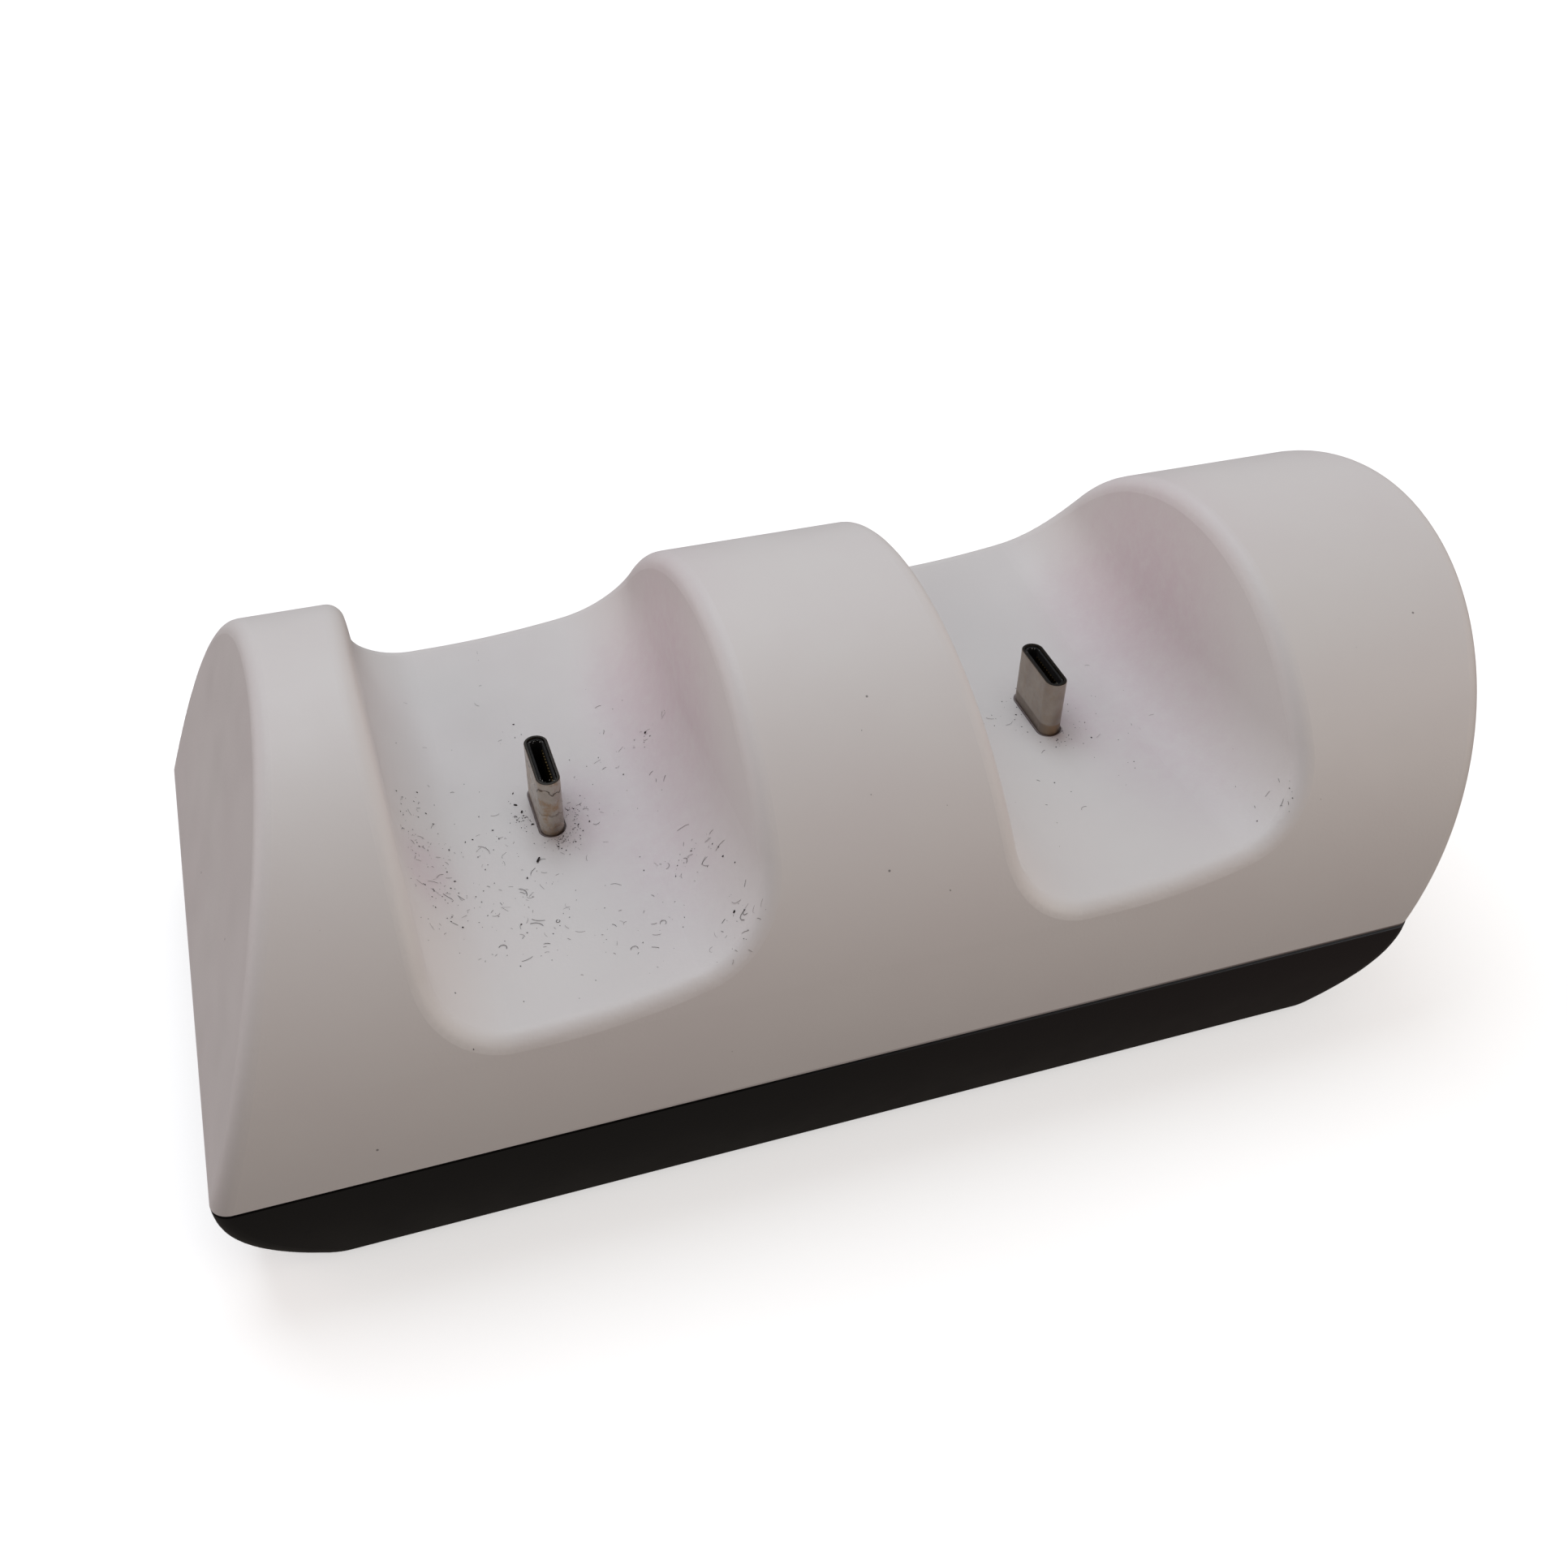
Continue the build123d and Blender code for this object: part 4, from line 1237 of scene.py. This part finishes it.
@dataclass
class MouthDustAndGlints:
    """Pale specks caught on the insulator's rim, just inside a plug's mouth: partly dust, partly painted
    glints.
    """

    end: End
    dice: random.Random
    specks: int
    inset_mm: float = 0.5
    sunk_mm: float = 0.17
    jitter_mm: float = 0.5
    reach_mm: float = 3.4
    speck_mm: Span = (0.05, 0.11)
    knocks: Span = (0.75, 1.2)

    def build(self) -> Piece:
        """Scatter the specks along the rim.

        Returns:
            The specks as one piece.
        """
        dice = self.dice
        tip = PLUG_TIPS[self.end] / MM
        rim = plug_outline(-self.inset_mm)
        mesh = bmesh.new()
        for _ in range(self.specks):
            x, y = dice.choice(rim)
            y += dice.uniform(-self.jitter_mm, self.jitter_mm)
            half = dice.uniform(*self.speck_mm) / 2
            y = min(max(y, -self.reach_mm), self.reach_mm)
            spot = Vector((tip.x + x, tip.y + y, tip.z - self.sunk_mm - half))
            made = bmesh.ops.create_icosphere(mesh, subdivisions=1, radius=half * MM)["verts"]
            for vert in made:
                vert.co = spot * MM + vert.co * dice.uniform(*self.knocks)
        dust = add_piece(f"{self.end.value}_mouth_dust_and_glints", mesh, (PALE_DUST_AND_GLINTS,))
        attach(dust, BODY)
        return dust


@dataclass
class DirtAndGlints:
    """All the lint, crumbs and dust on the cover, and pale specks in the plugs' mouths that are partly
    painted glints.
    """

    cover: str = "top_cover"

    def build(self) -> list[Piece]:
        """Pack the gaps round the plugs and lay the lint in both cradles and the crumbs outside.

        Returns:
            The pieces of dirt.
        """
        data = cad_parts[self.cover].data
        corners = [vert.co.copy() for vert in data.vertices]
        ground = BVHTree.FromPolygons(corners, [tuple(face.vertices) for face in data.polygons])
        front, rear = PLUG_FEET_MM
        layers = [PackedDust(end) for end in End]
        # Pale specks in the plugs' mouths: dust and painted glints
        layers.append(MouthDustAndGlints(End.FRONT, random.Random(21), specks=26))
        layers.append(MouthDustAndGlints(End.REAR, random.Random(22), specks=12))
        layers += [
            Lint(
                "front_cradle_lint", random.Random(11), ground, front[:2],
                FRONT_DRIFTS, FRONT_CRUMBS, FRONT_FIBRES,
            ),
            Lint("rear_cradle_lint", random.Random(12), ground, rear[:2], REAR_DRIFTS),
            Lint(
                "cover_crumbs", random.Random(13), ground, (0.0, 0.0), OUTSIDE_DRIFTS,
                crumb_mm=(0.06, 0.14), highest_mm=44.0,
            ),
        ]
        return [layer.build() for layer in layers]


@dataclass(frozen=True)
class Softbox:
    """One square soft lamp that aims at the dock: its place, size, power and colour."""

    name: str
    place_m: Triple
    size_m: float
    power: float
    colour: str

    def hang(self) -> None:
        """Hang the lamp."""
        data = bpy.data.lights.new(self.name, "AREA")
        data.energy = self.power
        data.size = self.size_m
        data.color = linear(self.colour)[:3]
        lamp = bpy.data.objects.new(self.name, data)
        lamp.location = self.place_m
        lamp.rotation_euler = (-Vector(self.place_m)).to_track_quat("-Z", "Y").to_euler()
        bpy.context.scene.collection.objects.link(lamp)


@dataclass
class Studio:
    """Plain pale floor and plain soft light: a paper sweep, a pale sky and three soft lamps."""

    floor_radius_m: float = 1.2
    sweep_radius_m: float = 1.2
    sweep_steps: int = 10
    sweep_sides: int = 96
    backdrop_height_m: float = 4.0
    zenith: str = "#FFF7F4"
    zenith_strength: float = 0.235
    horizon: str = "#FFF6F2"
    horizon_strength: float = 0.577
    ground: str = "#FFF1E5"
    ground_strength: float = 0.1
    ground_edge: Span = (-0.12, 0.12)
    sky_rise: Span = (0.0, 1.0)
    softboxes: tuple[Softbox, ...] = (
        Softbox("overhead_softbox", (-0.08, 0.36, 0.7), 0.6, 2.62, "#ECF7FF"),
        Softbox("left_softbox", (-0.8, 0.32, 0.3), 0.6, 1.15, "#FFE9EA"),
        Softbox("right_softbox", (0.62, -0.4, 0.3), 0.5, 1.28, "#FFEFE0"),
    )

    def build(self) -> None:
        """Lay the floor, set the sky, hang the lamps and keep colours as they are."""
        self.lay_floor()
        self.set_sky()
        for softbox in self.softboxes:
            softbox.hang()
        bpy.context.scene.view_settings.view_transform = "Standard"

    def lay_floor(self) -> None:
        """Lay a round floor that sweeps up into a backdrop and throws no light on the dock."""
        mesh = bmesh.new()
        middle = mesh.verts.new((0, 0, 0))
        rings = []
        for radius, height in self.sweep_profile():
            ring = []
            for step in range(self.sweep_sides):
                turn = math.tau * step / self.sweep_sides
                spot = (math.cos(turn) * radius, math.sin(turn) * radius, height)
                ring.append(mesh.verts.new(spot))
            rings.append(ring)
        for step in range(self.sweep_sides):
            beside = (step + 1) % self.sweep_sides
            mesh.faces.new((middle, rings[0][step], rings[0][beside]))
            for inner, outer in zip(rings, rings[1:]):
                mesh.faces.new((inner[step], outer[step], outer[beside], inner[beside]))
        floor = add_piece("studio_floor", mesh, (FLOOR_PAPER,), smooth=True)
        floor.visible_diffuse = False
        floor.visible_glossy = False
        floor.visible_shadow = False

    def sweep_profile(self) -> list[Span]:
        """Shape of the sweep, from the flat part up to the backdrop's top.

        Returns:
            Radius and height of each ring, in metres.
        """
        profile = [(self.floor_radius_m, 0.0)]
        for step in range(1, self.sweep_steps + 1):
            turn = math.pi / 2 * step / self.sweep_steps
            out = self.floor_radius_m + math.sin(turn) * self.sweep_radius_m
            profile.append((out, (1 - math.cos(turn)) * self.sweep_radius_m))
        profile.append((profile[-1][0], self.backdrop_height_m))
        return profile

    def set_sky(self) -> None:
        """Set a pale sky, brightest low down as in a room with windows, over a dim warm ground."""
        world = bpy.data.worlds.new("studio_sky")
        bpy.context.scene.world = world
        world.use_nodes = True
        tree = world.node_tree
        tree.nodes.clear()
        place = add_node(tree, "TexCoord").outputs["Generated"]
        height = add_node(tree, "SeparateXYZ", links={0: place}).outputs["Z"]
        shares = []
        for span in (self.sky_rise, self.ground_edge):
            settings = {"interpolation_type": "SMOOTHSTEP", **limits(span)}
            shares.append(add_node(tree, "MapRange", settings, {"Value": height}).outputs[0])
        ground = self.shone(self.ground, self.ground_strength)
        low = self.shone(self.horizon, self.horizon_strength)
        high = self.shone(self.zenith, self.zenith_strength)
        light = overlaid(tree, ground, overlaid(tree, low, high, shares[0]), shares[1])
        back = add_node(tree, "Background", links={"Color": light})
        add_node(tree, "OutputWorld", links={"Surface": back.outputs[0]})

    def shone(self, colour: str, strength: float) -> Colour:
        """A hex colour as linear light of some strength."""
        red, green, blue, _ = linear(colour)
        return (red * strength, green * strength, blue * strength, 1.0)


@dataclass
class PhotoCamera:
    """The camera that took the picture, as fitted to the dock's edges."""

    place_mm: Triple = (-49.55, -130.38, 137.51)
    looks_along: Triple = (0.25333, 0.71987, -0.64623)
    up: Triple = (0.19076, 0.61773, 0.7629)
    lens_mm: float = 37.742
    sensor_mm: float = 36.0
    sees_m: Span = (0.01, 20.0)

    def build(self) -> None:
        """Place the camera and make it the scene's own."""
        data = bpy.data.cameras.new("photo_camera")
        data.lens = self.lens_mm
        data.sensor_width = self.sensor_mm
        data.sensor_fit = "HORIZONTAL"
        data.clip_start, data.clip_end = self.sees_m
        back = -Vector(self.looks_along).normalized()
        right = Vector(self.up).cross(back).normalized()
        up = back.cross(right)
        turn = Matrix((right, up, back)).transposed().to_4x4()
        camera = bpy.data.objects.new("photo_camera", data)
        camera.matrix_world = Matrix.Translation(Vector(self.place_mm) * MM) @ turn
        bpy.context.scene.collection.objects.link(camera)
        bpy.context.scene.camera = camera


def main() -> None:
    """Build and dress every piece in order."""
    logging.basicConfig(level=logging.INFO, format="%(name)s: %(message)s")
    assemblies = {
        "housing": Housing(),
        "front charging plug": ChargingPlug(End.FRONT),
        "rear charging plug": ChargingPlug(End.REAR),
        "power inlet": PowerInlet(),
        "electronics": Electronics(),
        "fasteners": Fasteners(),
        "dirt and glints": DirtAndGlints(),
        "studio": Studio(),
        "camera": PhotoCamera(),
    }
    for name, assembly in assemblies.items():
        assembly.build()
        LOG.info("%s done", name)


if __name__ == "__main__":
    main()
